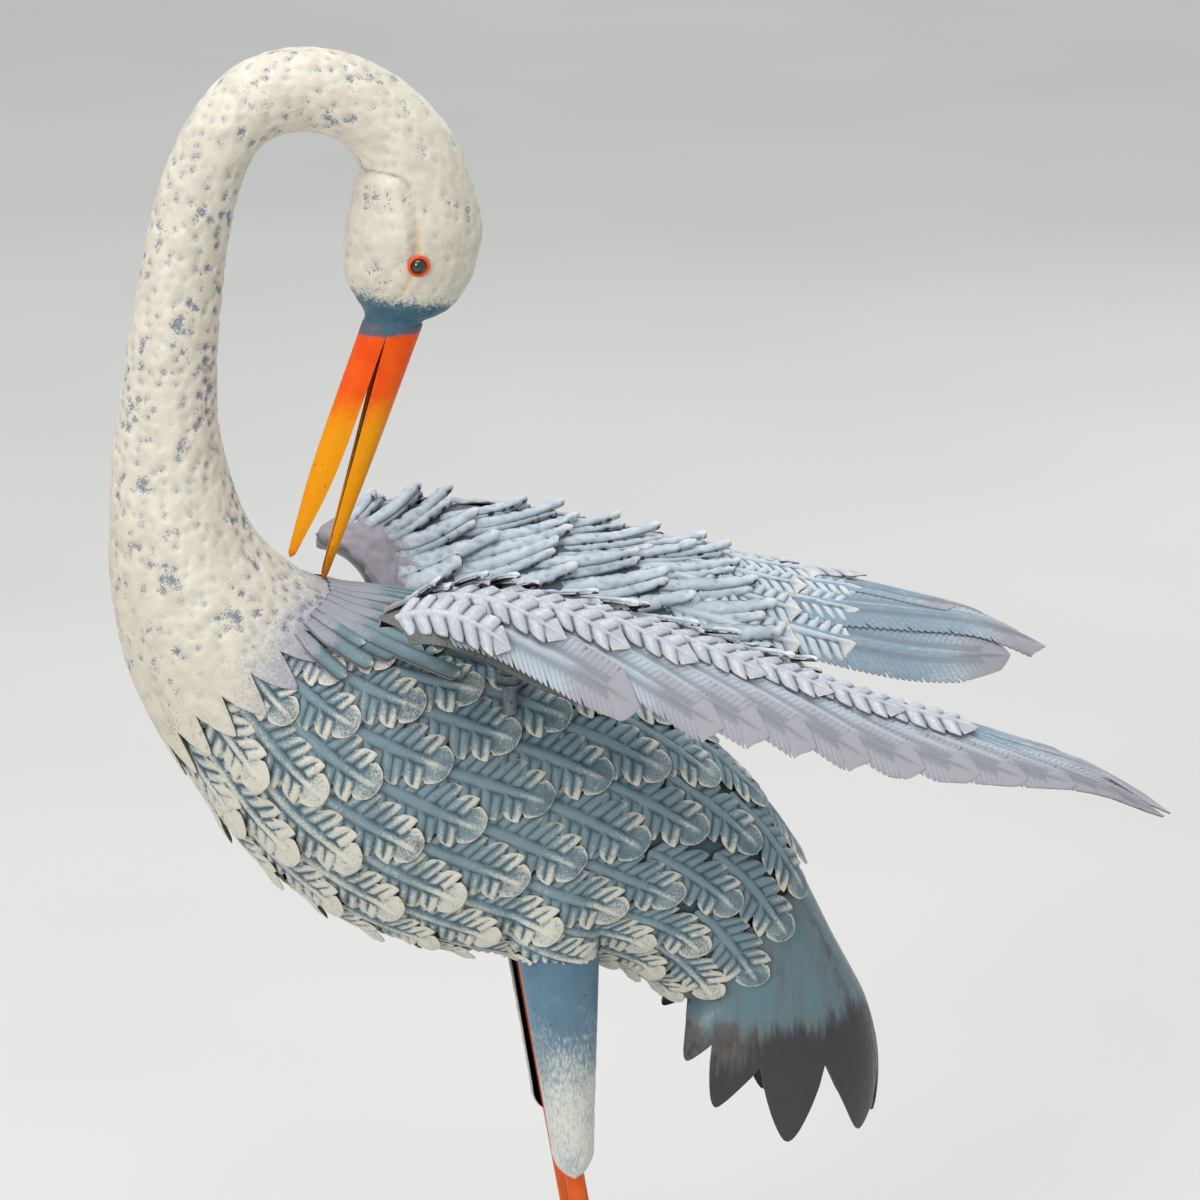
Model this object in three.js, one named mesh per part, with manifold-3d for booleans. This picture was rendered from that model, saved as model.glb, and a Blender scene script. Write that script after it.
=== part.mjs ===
// Preening egret: a painted sheet-steel garden bird on two legs and a flat base.
// Millimetres, +Z up. The bird faces -X, its left side is -Y, and the origin is
// the centre of the base's underside.
import * as THREE from 'three';
import { mergeVertices } from 'three/addons/utils/BufferGeometryUtils.js';
import Module from 'manifold-3d';

const wasm = await Module();
wasm.setup();

// Trunk, neck and head: the back and belly points of each section, on the plane of
// symmetry, and half its width, from the tail end forward over the neck to the beak.
const SECTIONS = [
  { back: [190, 350], belly: [85, 318], half: 44 },
  { back: [152, 434], belly: [40, 345], half: 60 },
  { back: [102, 494], belly: [-18, 353], half: 71 },
  { back: [42, 538], belly: [-72, 362], half: 75 },
  { back: [-18, 564], belly: [-126, 384], half: 75 },
  { back: [-70, 579], belly: [-178, 428], half: 72 },
  { back: [-100, 586], belly: [-218, 488], half: 66 },
  { back: [-115, 590], belly: [-244, 545], half: 59 },
  { back: [-140, 601], belly: [-253, 600], half: 51 },
  { back: [-166, 628], belly: [-252, 642], half: 42 },
  { back: [-180, 665], belly: [-250, 672], half: 34 },
  { back: [-186, 707], belly: [-245, 705], half: 29 },
  { back: [-182, 767], belly: [-234, 769], half: 25.5 },
  { back: [-174, 818], belly: [-214, 848], half: 24 },
  { back: [-161, 853], belly: [-180, 900], half: 24 },
  { back: [-139, 865], belly: [-135, 916], half: 24 },
  { back: [-113, 859], belly: [-87, 903], half: 24.5 },
  { back: [-102, 840], belly: [-48, 866], half: 28 },
  { back: [-108, 813], belly: [-30, 815], half: 31.5 },
  { back: [-111, 796], belly: [-31, 792], half: 31 },
  { back: [-111, 781], belly: [-37, 773], half: 28 },
  { back: [-106, 768], belly: [-49, 758], half: 22 },
  { back: [-100, 757], belly: [-64, 751], half: 14.5 },
  { back: [-103, 746], belly: [-68, 743], half: 12 },
];

// Body feathers: overlapping rows of plates welded to the shell under them.
const ROWS = 11;
const ROW_PITCH = 33.2;
const LAST_ROW_TIP = 8;
const FEATHERS_PER_ROW = 9;
const COLUMNS_PER_FEATHER = 4;
const FEATHER_GAP = 0.5;
const FEATHER_RISE = 2.0;
const FEATHER_SHEET = 1.3;
const FEATHER_RIDGE = 1.2;
const FEATHER_NOTCH = 24;
const FEATHER_SHOULDER = 6;
const SHELL_DEPTH = 6.5;
const SHELL_COLUMNS = 12;
const SHELL_INSET = 0.3;
const SHELL_TAIL_END = 50;
const SHELL_FRONT_END = 404;

// Collar: the zigzag lower edge of the breast shell, over the first feathers.
const NECK_COLUMNS = 32;
const NECK_START = 409;
// Sections that carry a ring of the neck's facets, closer together over the crook.
const NECK_RINGS = [8, 9, 10, 12, 13, 13.6, 14.3, 15, 15.7, 16.4, 17, 18, 19.5, 21, 23];
const COLLAR_TIP = 369;
const COLLAR_NOTCH = 392;
const COLLAR_LIFT = 5.0;
const COLLAR_SHEET = 1.3;

// Tail fan: a curved plate, round at the back and open below, cut into prongs. Its
// prongs' tips and notches are given as a share round the fan and a height.
const FAN_SHEET = 1.6;
const FAN_WRAP = 150;
const FAN_ROOT = { along: 44, lift: 0.9 };
const FAN_COVERED = { along: 6, lift: 3.2 };
const FAN_MIDDLE = { back: 210, wall: 146, front: 85, half: 44, z: 300 };
const FAN_END = { back: 209, wall: 150, front: 82, half: 42, z: 225 };
const FAN_BEND_Z = 314;
const FAN_ROUND_SHARE = 0.45;
const FAN_FRONT_EDGE_Z = 304;
const FAN_PRONGS = [
  { from: 1.0, to: 0.84, notch: 302, tip: [0.97, 294] },
  { from: 0.84, to: 0.56, notch: 285, tip: [0.81, 262] },
  { from: 0.56, to: 0.325, notch: 285, tip: [0.44, 235] },
  { from: 0.325, to: 0.07, notch: 270, tip: [0.19, 234] },
];
const FAN_CENTRE_TIP = 235;
const PRONG_SHOULDER = { down: 0.72, half: 0.27 };

// Wings: arched along a crest line, given for the right wing at places along X.
const WING_STATIONS = [
  { x: -126, y: 86, z: 592, inner: 14, innerDrop: 20, outer: 10, outerDrop: 12 },
  { x: -85, y: 95, z: 609, inner: 40, innerDrop: 45, outer: 25, outerDrop: 22 },
  { x: -30, y: 100, z: 608, inner: 52, innerDrop: 52, outer: 34, outerDrop: 44 },
  { x: 45, y: 110, z: 590, inner: 55, innerDrop: 50, outer: 40, outerDrop: 53 },
  { x: 100, y: 122, z: 572, inner: 55, innerDrop: 47, outer: 39, outerDrop: 43 },
  { x: 170, y: 137, z: 549, inner: 52, innerDrop: 46, outer: 34, outerDrop: 34 },
  { x: 240, y: 149, z: 529, inner: 49, innerDrop: 37, outer: 30, outerDrop: 20 },
  { x: 300, y: 158, z: 509, inner: 40, innerDrop: 20, outer: 20, outerDrop: 8 },
  { x: 353, y: 165, z: 478, inner: 4, innerDrop: 0, outer: 4, outerDrop: 0 },
];
const WING_ARCH_POWER = 1.9;
const LEFT_WING_SET_BACK = 22;
const WING_SHEET = 1.2;

const WING_PLATE = { from: -104, to: 205, reach: 0.93, lift: -4.8, steps: 5, columns: 5 };
const QUILLS = {
  outerCount: 8, innerCount: 3, ridge: 0.8, lift: 0, length: 120, frontRoot: -96,
  rearRoot: 178, crest: 0.12, innerRoot: -0.9, innerTip: -0.95, notch: 0.86,
};
const QUILL_TIPS = [22, 85, 133, 170, 205, 241, 277, 325, 353, 326, 317];
const SIDE_COVERTS = {
  count: 8, start: -96, pitch: 38, length: 84, lift: 5.2, ridge: 1.0,
  crest: 0.04, firstReach: 0.78, reach: 0.34, notch: 0.62,
  frontEdge: { x: [-104, -58], across: [0.08, 0.84] },
};
const REAR_COVERTS = {
  count: 5, from: 118, to: 214, lift: [0.6, 3.2], ridge: 1.0, span: [-0.93, -0.04], notch: 0.8,
};
const FINGERS = {
  count: 6, pitch: 50, length: 74, start: -62, lift: [1.0, 6.6], ridge: 2.6,
  span: [-0.96, -0.25], climb: 0.22, notch: 0.8,
};
const FINGER_ROWS = 3;
const SHOULDER = {
  from: -121, middle: -103, rim: -76, notch: -51, tip: -30, lift: 3.6, tipLift: 7.6, ridge: 2.6,
  sheet: 1.6, span: [-0.97, 0.02],
};

// Wing bolts: from each wing's plate down to the body, with a nut near its foot.
const WING_BOLT = { x: -22, y: 57, from: 525, nut: 543, nutTop: 550, top: 557, radius: 4.5, nutRadius: 7.5, sides: 6 };

// Beak: two folded channels, each between an outer and an inner edge line.
const LOWER_MANDIBLE = {
  outer: [[-104.5, 741.2], [-131.6, 665.6], [-147.4, 610.4]],
  inner: [[-90.6, 739], [-117.5, 663], [-143.8, 609]],
  halfBase: 11, halfTip: 2.2,
};
const UPPER_MANDIBLE = {
  outer: [[-67, 739], [-94.2, 670.3], [-124.5, 594.6]],
  inner: [[-88.6, 738.8], [-106, 676], [-128.2, 595.6]],
  halfBase: 11.5, halfTip: 2.2,
};
const BEAK_STEPS = 5;
const BEAK_GROOVE = 0.35;
// Points round a mandible's half: depth from its open side, share of its half width.
const BEAK_PROFILE = [[0, 1], [0.45, 0.95], [0.85, 0.55], [1, 0], [0.85, -0.55], [0.45, -0.95], [0, -1]];

const EYE = { section: 19.3, angle: 90, bead: 4.2, ring: 7, ringInner: 4.6, ringThickness: 1.6, sides: 8 };

// Legs: thigh shells open on the inside, round rods, toes and the base plate.
const THIGH = {
  top: { x: 5, z: 412, halfWidth: 29, depth: 24 },
  middle: { x: 16, z: 242, halfWidth: 13, depth: 13 },
  tip: { x: 17, z: 227, halfWidth: 4, depth: 3 },
  sheet: 1.8, outerFace: 70, lowerOuterFace: 64, wrap: 100, columns: 5,
};
const ROD = {
  radius: 6, kneeRadius: 9, footRadius: 6.5, side: 51, sides: 8,
  top: [-1.5, 336], knee: [35, 118], foot: [16, 22],
};
const FOOT = {
  hubRadius: [9, 7], height: 14, toeRadius: 5, tipRadius: 3, forward: 78, side: 70, back: 34, spread: 32,
};
// Along a toe: share of its length, of its radius and of the foot's height.
const TOE_RINGS = [[0, 1, 0.7], [0.55, 0.9, 0.55]];
const TOE_PROFILE = [[-1, 0], [-0.6, 1], [0.6, 1], [1, 0]];
const BASE = { length: 300, width: 200, thickness: 6, corner: 60, segments: 4 };
const TOUCH_GAP = 0.3;
const SLIVER = 0.02;

const PAINT = {
  cream: { color: 0xd9d4c4, roughness: 0.6, metalness: 0.1 },
  blueGrey: { color: 0x6f8ea0, roughness: 0.6, metalness: 0.15 },
  dryBrushed: { color: 0x93a5ab, roughness: 0.65, metalness: 0.1 },
  paleBlue: { color: 0xa9bcc6, roughness: 0.6, metalness: 0.15 },
  lilacGrey: { color: 0x9aa2ad, roughness: 0.6, metalness: 0.15 },
  charcoal: { color: 0x4a4a50, roughness: 0.45, metalness: 0.2 },
  orange: { color: 0xe0661a, roughness: 0.5, metalness: 0.1 },
  yellow: { color: 0xe8a21c, roughness: 0.5, metalness: 0.1 },
  gloss: { color: 0x0a0a0c, roughness: 0.1, metalness: 0.0 },
  steel: { color: 0x8a8a86, roughness: 0.4, metalness: 0.8 },
  darkBase: { color: 0x4c5a64, roughness: 0.55, metalness: 0.2 },
};

const lerp = (a, b, f) => a + (b - a) * f;
const radians = (degrees) => (degrees * Math.PI) / 180;

// Catmull-Rom value through equally spaced knots, straight past either end.
function smooth(knots, position) {
  const last = knots.length - 1;
  const at = THREE.MathUtils.clamp(position, 0, last);
  const i = Math.min(Math.floor(at), last - 1);
  const f = position - i;
  const before = i > 0 ? knots[i - 1] : 2 * knots[0] - knots[1];
  const after = i < last - 1 ? knots[i + 2] : 2 * knots[last] - knots[last - 1];
  const p = knots[i];
  const q = knots[i + 1];
  if (position < 0 || position > last) return lerp(p, q, f);
  return 0.5 * (2 * p + (q - before) * f + (2 * before - 5 * p + 4 * q - after) * f * f
    + (3 * p - before - 3 * q + after) * f * f * f);
}

const SECTION_KNOTS = [
  SECTIONS.map((s) => s.back[0]), SECTIONS.map((s) => s.back[1]),
  SECTIONS.map((s) => s.belly[0]), SECTIONS.map((s) => s.belly[1]),
  SECTIONS.map((s) => s.half),
];

function section(position) {
  const [backX, backZ, bellyX, bellyZ, half] = SECTION_KNOTS.map((k) => smooth(k, position));
  const centre = new THREE.Vector3((backX + bellyX) / 2, 0, (backZ + bellyZ) / 2);
  const toBack = new THREE.Vector3((backX - bellyX) / 2, 0, (backZ - bellyZ) / 2);
  const depth = toBack.length();
  return { centre, toBack: toBack.divideScalar(depth), depth, half };
}

// Distance along the trunk's centre line, zero at the tail end, for any section.
const TABLE_STEP = 0.05;
const CENTRE_LENGTHS = (() => {
  const lengths = [0];
  let previous = section(0).centre;
  for (let k = 1; k * TABLE_STEP <= SECTIONS.length - 1 + 1e-9; k += 1) {
    const next = section(k * TABLE_STEP).centre;
    lengths.push(lengths[k - 1] + next.distanceTo(previous));
    previous = next;
  }
  return lengths;
})();

function sectionAtLength(along) {
  if (along <= 0) return (along / CENTRE_LENGTHS[1]) * TABLE_STEP;
  const k = CENTRE_LENGTHS.findIndex((length) => length >= along);
  const f = (along - CENTRE_LENGTHS[k - 1]) / (CENTRE_LENGTHS[k] - CENTRE_LENGTHS[k - 1]);
  return (k - 1 + f) * TABLE_STEP;
}

// A point on the trunk at a section, an angle from the back (0) and a lift off the
// outline.
function sectionPoint(position, angle, lift) {
  const { centre, toBack, depth, half } = section(position);
  return centre.clone()
    .addScaledVector(toBack, (depth + lift) * Math.cos(angle))
    .add(new THREE.Vector3(0, (half + lift) * Math.sin(angle), 0));
}

// The body as the feather rows share it: straight between the rows' own stations,
// so that rows at different lifts never meet. Lift zero is the shell's surface.
function bodyPoint(along, angle, lift) {
  const step = Math.max(0, Math.floor((along - LAST_ROW_TIP) / ROW_PITCH));
  const from = LAST_ROW_TIP + step * ROW_PITCH;
  const f = (along - from) / ROW_PITCH;
  const start = sectionPoint(sectionAtLength(from), angle, lift - SHELL_DEPTH);
  const end = sectionPoint(sectionAtLength(from + ROW_PITCH), angle, lift - SHELL_DEPTH);
  return start.lerp(end, f);
}

// A closed geometry from triangles given as point triples, turned to face outwards.
function closedGeometry(triangles) {
  const positions = triangles.flatMap((t) => t.flatMap((p) => [p.x, p.y, p.z]));
  let geometry = new THREE.BufferGeometry();
  geometry.setAttribute('position', new THREE.Float32BufferAttribute(positions, 3));
  geometry = mergeVertices(geometry, 1e-4);
  const index = Array.from(geometry.index.array);
  const position = geometry.attributes.position;
  const corner = (k) => new THREE.Vector3().fromBufferAttribute(position, k);
  const kept = [];
  let volume = 0;
  for (let k = 0; k < index.length; k += 3) {
    const [a, b, c] = index.slice(k, k + 3);
    if (a === b || b === c || c === a) continue;
    kept.push(a, b, c);
    volume += corner(a).dot(corner(b).cross(corner(c)));
  }
  geometry.setIndex(volume > 0 ? kept : kept.reverse());
  return geometry;
}

const quad = (a, b, c, d) => [[a, b, c], [a, c, d]];

// The closed solid between an outer and an inner grid of points, rows by columns.
// A looped sheet's last column joins its first.
function sheetTriangles(outer, inner, looped) {
  const triangles = [];
  const rows = outer.length;
  const columns = outer[0].length;
  const across = looped ? columns : columns - 1;
  for (let i = 0; i < rows - 1; i += 1) {
    for (let j = 0; j < across; j += 1) {
      const n = (j + 1) % columns;
      triangles.push(...quad(outer[i][j], outer[i][n], outer[i + 1][n], outer[i + 1][j]));
      triangles.push(...quad(inner[i][j], inner[i + 1][j], inner[i + 1][n], inner[i][n]));
    }
  }
  for (let j = 0; j < across; j += 1) {
    const n = (j + 1) % columns;
    const last = rows - 1;
    triangles.push(...quad(outer[0][n], outer[0][j], inner[0][j], inner[0][n]));
    triangles.push(...quad(outer[last][j], outer[last][n], inner[last][n], inner[last][j]));
  }
  if (!looped) {
    for (let i = 0; i < rows - 1; i += 1) {
      const n = columns - 1;
      triangles.push(...quad(outer[i][0], outer[i + 1][0], inner[i + 1][0], inner[i][0]));
      triangles.push(...quad(outer[i + 1][n], outer[i][n], inner[i][n], inner[i + 1][n]));
    }
  }
  return triangles;
}

const sheetGeometry = (outer, inner, looped) => closedGeometry(sheetTriangles(outer, inner, looped));

// A solid through closed rings of points, with a flat fan at each end.
function loftTriangles(rings) {
  const triangles = [];
  const count = rings[0].length;
  for (let i = 0; i < rings.length - 1; i += 1) {
    for (let j = 0; j < count; j += 1) {
      const n = (j + 1) % count;
      triangles.push(...quad(rings[i][j], rings[i][n], rings[i + 1][n], rings[i + 1][j]));
    }
  }
  const capCentre = (ring) => ring.reduce((sum, p) => sum.add(p), new THREE.Vector3())
    .divideScalar(ring.length);
  const first = rings[0];
  const last = rings[rings.length - 1];
  const firstCentre = capCentre(first);
  const lastCentre = capCentre(last);
  for (let j = 0; j < count; j += 1) {
    const n = (j + 1) % count;
    triangles.push([firstCentre, first[n], first[j]]);
    triangles.push([lastCentre, last[j], last[n]]);
  }
  return triangles;
}

const loftGeometry = (rings) => closedGeometry(loftTriangles(rings));

const ringOf = (count, point) => Array.from({ length: count }, (_, j) => point((2 * Math.PI * j) / count, j));

// Solids for the boolean joins, and back again.
function toManifold(geometry) {
  const bare = geometry.clone();
  bare.deleteAttribute('normal');
  bare.deleteAttribute('uv');
  const merged = mergeVertices(bare, 1e-4);
  return new wasm.Manifold(new wasm.Mesh({
    numProp: 3,
    vertProperties: new Float32Array(merged.attributes.position.array),
    triVerts: new Uint32Array(merged.index.array),
  }));
}

function fromManifold(solid) {
  const mesh = solid.simplify(SLIVER).getMesh();
  const geometry = new THREE.BufferGeometry();
  geometry.setAttribute('position', new THREE.BufferAttribute(mesh.vertProperties, 3));
  geometry.setIndex(new THREE.BufferAttribute(mesh.triVerts, 1));
  return geometry;
}

function joined(geometries) {
  return fromManifold(geometries.map(toManifold).reduce((sum, solid) => sum.add(solid)));
}

const egret = new THREE.Group();

function addPiece(name, geometry, paint) {
  const mesh = new THREE.Mesh(geometry, new THREE.MeshStandardMaterial({ ...PAINT[paint] }));
  mesh.name = name;
  egret.add(mesh);
  return mesh;
}

// The same geometry on the bird's other side.
function mirrored(geometry) {
  const copy = geometry.clone().scale(1, -1, 1);
  copy.setIndex(Array.from(copy.index.array).reverse());
  return copy;
}

// Neck, breast and head as one shell, with the zigzag collar hanging over the body.
function neckGeometry() {
  const positions = [sectionAtLength(NECK_START), ...NECK_RINGS];
  const rings = positions.map((position) => ringOf(NECK_COLUMNS, (angle) => (
    sectionPoint(position, angle, 0))));
  const collar = (lift) => ringOf(NECK_COLUMNS, (angle, j) => (
    bodyPoint(j % 2 ? COLLAR_NOTCH : COLLAR_TIP, angle, lift)));
  const underside = ringOf(NECK_COLUMNS, (angle) => bodyPoint(NECK_START, angle, COLLAR_LIFT));
  return loftGeometry([underside, collar(COLLAR_LIFT), collar(COLLAR_LIFT + COLLAR_SHEET), ...rings]);
}

function shellGeometry() {
  const stations = [SHELL_TAIL_END];
  for (let k = 2; k <= ROWS; k += 1) stations.push(LAST_ROW_TIP + k * ROW_PITCH);
  stations.push(SHELL_FRONT_END);
  return loftGeometry(stations.map((along) => ringOf(SHELL_COLUMNS, (angle) => (
    bodyPoint(along, angle, -SHELL_INSET)))));
}

// One row of feathers round the body: thin and low at the roots, high at the
// scalloped tips.
function featherRowGeometry(row) {
  const tip = LAST_ROW_TIP + row * ROW_PITCH;
  const columns = FEATHERS_PER_ROW * COLUMNS_PER_FEATHER;
  const shift = row % 2 ? 0 : COLUMNS_PER_FEATHER / 2;
  const cutBack = [FEATHER_NOTCH, FEATHER_SHOULDER, 0, FEATHER_SHOULDER];
  const phase = (j) => (j + shift) % COLUMNS_PER_FEATHER;
  const surface = (step, sheet) => ringOf(columns, (angle, j) => {
    const thickness = step === 2 ? 0 : sheet;
    const cut = step === 0 ? cutBack[phase(j)] : 0;
    const along = tip + step * ROW_PITCH + cut;
    const rise = FEATHER_RISE * (2 - (along - tip) / ROW_PITCH);
    const ridge = step === 0 && thickness > 0 && cut === 0 ? FEATHER_RIDGE : 0;
    return bodyPoint(along, angle, FEATHER_GAP + rise + thickness + ridge);
  });
  const outer = [2, 1, 0].map((step) => surface(step, FEATHER_SHEET));
  const inner = [2, 1, 0].map((step) => surface(step, 0));
  return sheetGeometry(outer, inner, true);
}

// Tail fan. Its outline at one of its two set heights, at a share round (-1 to 1).
function fanSection(shape, around) {
  const side = Math.sign(around) || 1;
  const share = Math.abs(around);
  if (share <= FAN_ROUND_SHARE) {
    const turn = (share / FAN_ROUND_SHARE) * (Math.PI / 2);
    const reach = shape.back - shape.wall;
    return new THREE.Vector3(shape.wall + reach * Math.cos(turn), side * shape.half * Math.sin(turn), shape.z);
  }
  const f = (share - FAN_ROUND_SHARE) / (1 - FAN_ROUND_SHARE);
  return new THREE.Vector3(lerp(shape.wall, shape.front, f), side * shape.half, shape.z);
}

// Where the fan comes out from under the last feathers, and its curve below that.
const fanTop = ({ along, lift }, around) => bodyPoint(along, radians(around * FAN_WRAP), lift);

function fanPoint(around, z) {
  const knots = [fanTop(FAN_COVERED, around), fanSection(FAN_MIDDLE, around), fanSection(FAN_END, around)];
  return knots.reduce((sum, knot, k) => {
    const others = knots.filter((_, n) => n !== k);
    const share = others.reduce((product, other) => product * ((z - other.z) / (knot.z - other.z)), 1);
    return sum.addScaledVector(knot, share);
  }, new THREE.Vector3());
}

function surfaceNormal(point, u, v, outward) {
  const step = 1e-3;
  const along = point(u + step, v).sub(point(u - step, v));
  const across = point(u, v + step).sub(point(u, v - step));
  const normal = along.cross(across).normalize();
  return normal.dot(outward) < 0 ? normal.negate() : normal;
}

// The free edge's columns from the near front round to the back: a notch, a
// shoulder, a tip and a shoulder for each prong.
function fanColumns() {
  const columns = [];
  let notch = FAN_FRONT_EDGE_Z;
  FAN_PRONGS.forEach((prong) => {
    const middle = (prong.from + prong.to) / 2;
    const shoulderZ = lerp(prong.notch, prong.tip[1], PRONG_SHOULDER.down);
    const leaned = lerp(middle, prong.tip[0], PRONG_SHOULDER.down);
    const width = (prong.from - prong.to) * PRONG_SHOULDER.half;
    columns.push({ around: prong.from, end: [prong.from, notch] });
    columns.push({
      around: lerp(prong.from, middle, 0.5), end: [Math.min(leaned + width, prong.from), shoulderZ],
    });
    columns.push({ around: middle, end: prong.tip });
    columns.push({ around: lerp(middle, prong.to, 0.5), end: [leaned - width, shoulderZ] });
    notch = prong.notch;
  });
  const { to } = FAN_PRONGS[FAN_PRONGS.length - 1];
  columns.push({ around: to, end: [to, notch] });
  const centre = { around: 0, end: [0, FAN_CENTRE_TIP] };
  const flipped = columns.map((c) => ({ around: -c.around, end: [-c.end[0], c.end[1]] })).reverse();
  return [...columns, centre, ...flipped];
}

function fanGeometry() {
  const columns = fanColumns();
  const axis = FAN_MIDDLE.wall - 20;
  const place = (around, z, depth) => {
    const point = fanPoint(around, z);
    const outward = new THREE.Vector3(point.x - axis, point.y, 0);
    return point.addScaledVector(surfaceNormal(fanPoint, around, z, outward), -depth);
  };
  const top = (station, around, depth) => fanTop({ ...station, lift: station.lift - depth }, around);
  const grid = (depth) => [
    columns.map((c) => top(FAN_ROOT, c.around, depth)),
    columns.map((c) => top(FAN_COVERED, c.around, depth)),
    columns.map((c) => place(c.around, FAN_BEND_Z, depth)),
    columns.map((c) => place(c.end[0], c.end[1], depth)),
  ];
  return sheetGeometry(grid(0), grid(FAN_SHEET), false);
}

// Wing surface: the crest's place and the arch on either side of it, at any X.
const WING_FIELDS = ['y', 'z', 'inner', 'innerDrop', 'outer', 'outerDrop'];
const WING_KNOTS = Object.fromEntries(WING_FIELDS.map((f) => [f, WING_STATIONS.map((s) => s[f])]));

function wingPosition(x) {
  const last = WING_STATIONS.length - 1;
  let k = WING_STATIONS.findIndex((s) => s.x > x);
  if (k < 0) k = last;
  if (k === 0) k = 1;
  const from = WING_STATIONS[k - 1].x;
  return k - 1 + (x - from) / (WING_STATIONS[k].x - from);
}

function wingBare(x, across) {
  const at = wingPosition(x);
  const value = (field) => smooth(WING_KNOTS[field], at);
  const outerSide = across > 0;
  const width = value(outerSide ? 'outer' : 'inner');
  const drop = value(outerSide ? 'outerDrop' : 'innerDrop');
  const z = value('z') - drop * Math.abs(across) ** WING_ARCH_POWER;
  return new THREE.Vector3(x, value('y') + across * width, z);
}

function wingPoint(x, across, lift) {
  const outward = new THREE.Vector3(0, across, 1);
  const normal = surfaceNormal(wingBare, x, across, outward);
  return wingBare(x, across).addScaledVector(normal, lift);
}

// A sheet on the wing, thin at its first row. place(i, j) gives [x, across, lift]
// and a ridge's height for each row and column.
function wingSheet(rows, columns, place, thickness) {
  const grid = (sheet) => Array.from({ length: rows }, (_, i) => (
    Array.from({ length: columns }, (__, j) => {
      const [x, across, lift, ridge = 0] = place(i, j);
      return wingPoint(x, across, lift + (sheet > 0 && i > 0 ? sheet + ridge : 0));
    })));
  return sheetGeometry(grid(thickness), grid(0), false);
}

function wingPlateGeometry() {
  const { from, to, reach, lift, steps, columns } = WING_PLATE;
  return wingSheet(steps + 1, columns + 1, (i, j) => (
    [lerp(from, to, i / steps), lerp(-reach, 1, j / columns), lift]), WING_SHEET);
}

// Long quills in a fan: from the outer edge's first, short of the body, to the
// longest at the wing's end, and three more on the inner side.
function quillLane(lane) {
  const { outerCount, innerCount, length, frontRoot, rearRoot, crest, innerRoot, innerTip } = QUILLS;
  const x = smooth(QUILL_TIPS, lane);
  if (lane <= outerCount - 1) {
    return { root: [Math.max(x - length, frontRoot + lane), crest], tip: [x, 1.0] };
  }
  const f = (lane - outerCount + 1) / innerCount;
  const outerRoot = QUILL_TIPS[outerCount - 1] - length;
  return {
    root: [lerp(outerRoot, rearRoot, Math.min(1, f)), lerp(crest, innerRoot, f)],
    tip: [x, lerp(1.0, innerTip, f)],
  };
}

function quillsGeometry() {
  const count = QUILLS.outerCount + QUILLS.innerCount;
  const fractions = [0, 0.45, 1];
  const last = fractions.length - 1;
  return wingSheet(fractions.length, 2 * count + 1, (i, j) => {
    const { root, tip } = quillLane((j - 1) / 2);
    const isMiddle = j % 2 === 1;
    const f = i === last && !isMiddle ? QUILLS.notch : fractions[i];
    const ridge = isMiddle && i < last ? QUILLS.ridge : 0;
    return [lerp(root[0], tip[0], f), lerp(root[1], tip[1], f), QUILLS.lift, ridge];
  }, WING_SHEET);
}

function sideCovertsGeometry() {
  const { count, start, pitch, length, lift, ridge, crest, firstReach, reach, notch } = SIDE_COVERTS;
  const { frontEdge } = SIDE_COVERTS;
  const fractions = [0, 0.5, 1];
  return wingSheet(fractions.length, 2 * count + 1, (i, j) => {
    if (j === 0) return [lerp(...frontEdge.x, fractions[i]), lerp(...frontEdge.across, fractions[i]), lift];
    const isMiddle = j % 2 === 1;
    const f = fractions[i] * (isMiddle ? 1 : notch);
    const x = start + ((j - 1) / 2) * pitch + f * length;
    return [x, lerp(crest, j < 3 ? firstReach : reach, f), lift, isMiddle ? ridge : 0];
  }, WING_SHEET);
}

function rearCovertsGeometry() {
  const { count, from, to, lift, ridge, span, notch } = REAR_COVERTS;
  const fractions = [0, 0.5, 1];
  return wingSheet(fractions.length, 2 * count + 1, (i, j) => {
    const isMiddle = j % 2 === 1;
    const f = fractions[i] * (isMiddle ? 1 : notch);
    return [lerp(from, to, f), lerp(...span, j / (2 * count)), lerp(...lift, f), isMiddle ? ridge : 0];
  }, WING_SHEET);
}

// Rows of rounded finger feathers that climb from the wing's inner edge to its crest.
// The shoulder is smooth in front and ends in the same fingers.
function fingersGeometry(row) {
  const { count, pitch, length, start, lift, ridge, span, climb, notch } = FINGERS;
  const fractions = [0, 0.5, 1];
  return wingSheet(fractions.length, 2 * count + 1, (i, j) => {
    const isMiddle = j % 2 === 1;
    const f = fractions[i] * (isMiddle ? 1 : notch);
    const x = start + row * pitch + f * length;
    const across = lerp(...span, j / (2 * count)) + climb * f;
    return [x, across, lerp(...lift, f), isMiddle ? ridge : 0];
  }, WING_SHEET);
}

function shoulderGeometry() {
  const { from, middle, rim, notch, tip, lift, tipLift, ridge, sheet, span } = SHOULDER;
  const columns = 2 * FINGERS.count + 1;
  return wingSheet(4, columns, (i, j) => {
    const isTip = i === 3;
    const isMiddle = j % 2 === 1;
    const x = [from, middle, rim, isMiddle ? tip : notch][i];
    const across = lerp(...span, j / (columns - 1));
    return [x, across, isTip ? tipLift : lift, isMiddle && isTip ? ridge : 0];
  }, sheet);
}

// The left wing sits a little further back at its front end than the right one.
function setBackLeft(geometry) {
  const position = geometry.attributes.position;
  const first = WING_STATIONS[0].x;
  const last = WING_STATIONS[WING_STATIONS.length - 1].x;
  for (let k = 0; k < position.count; k += 1) {
    const share = (last - position.getX(k)) / (last - first);
    position.setX(k, position.getX(k) + LEFT_WING_SET_BACK * share);
  }
  return geometry;
}

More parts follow.
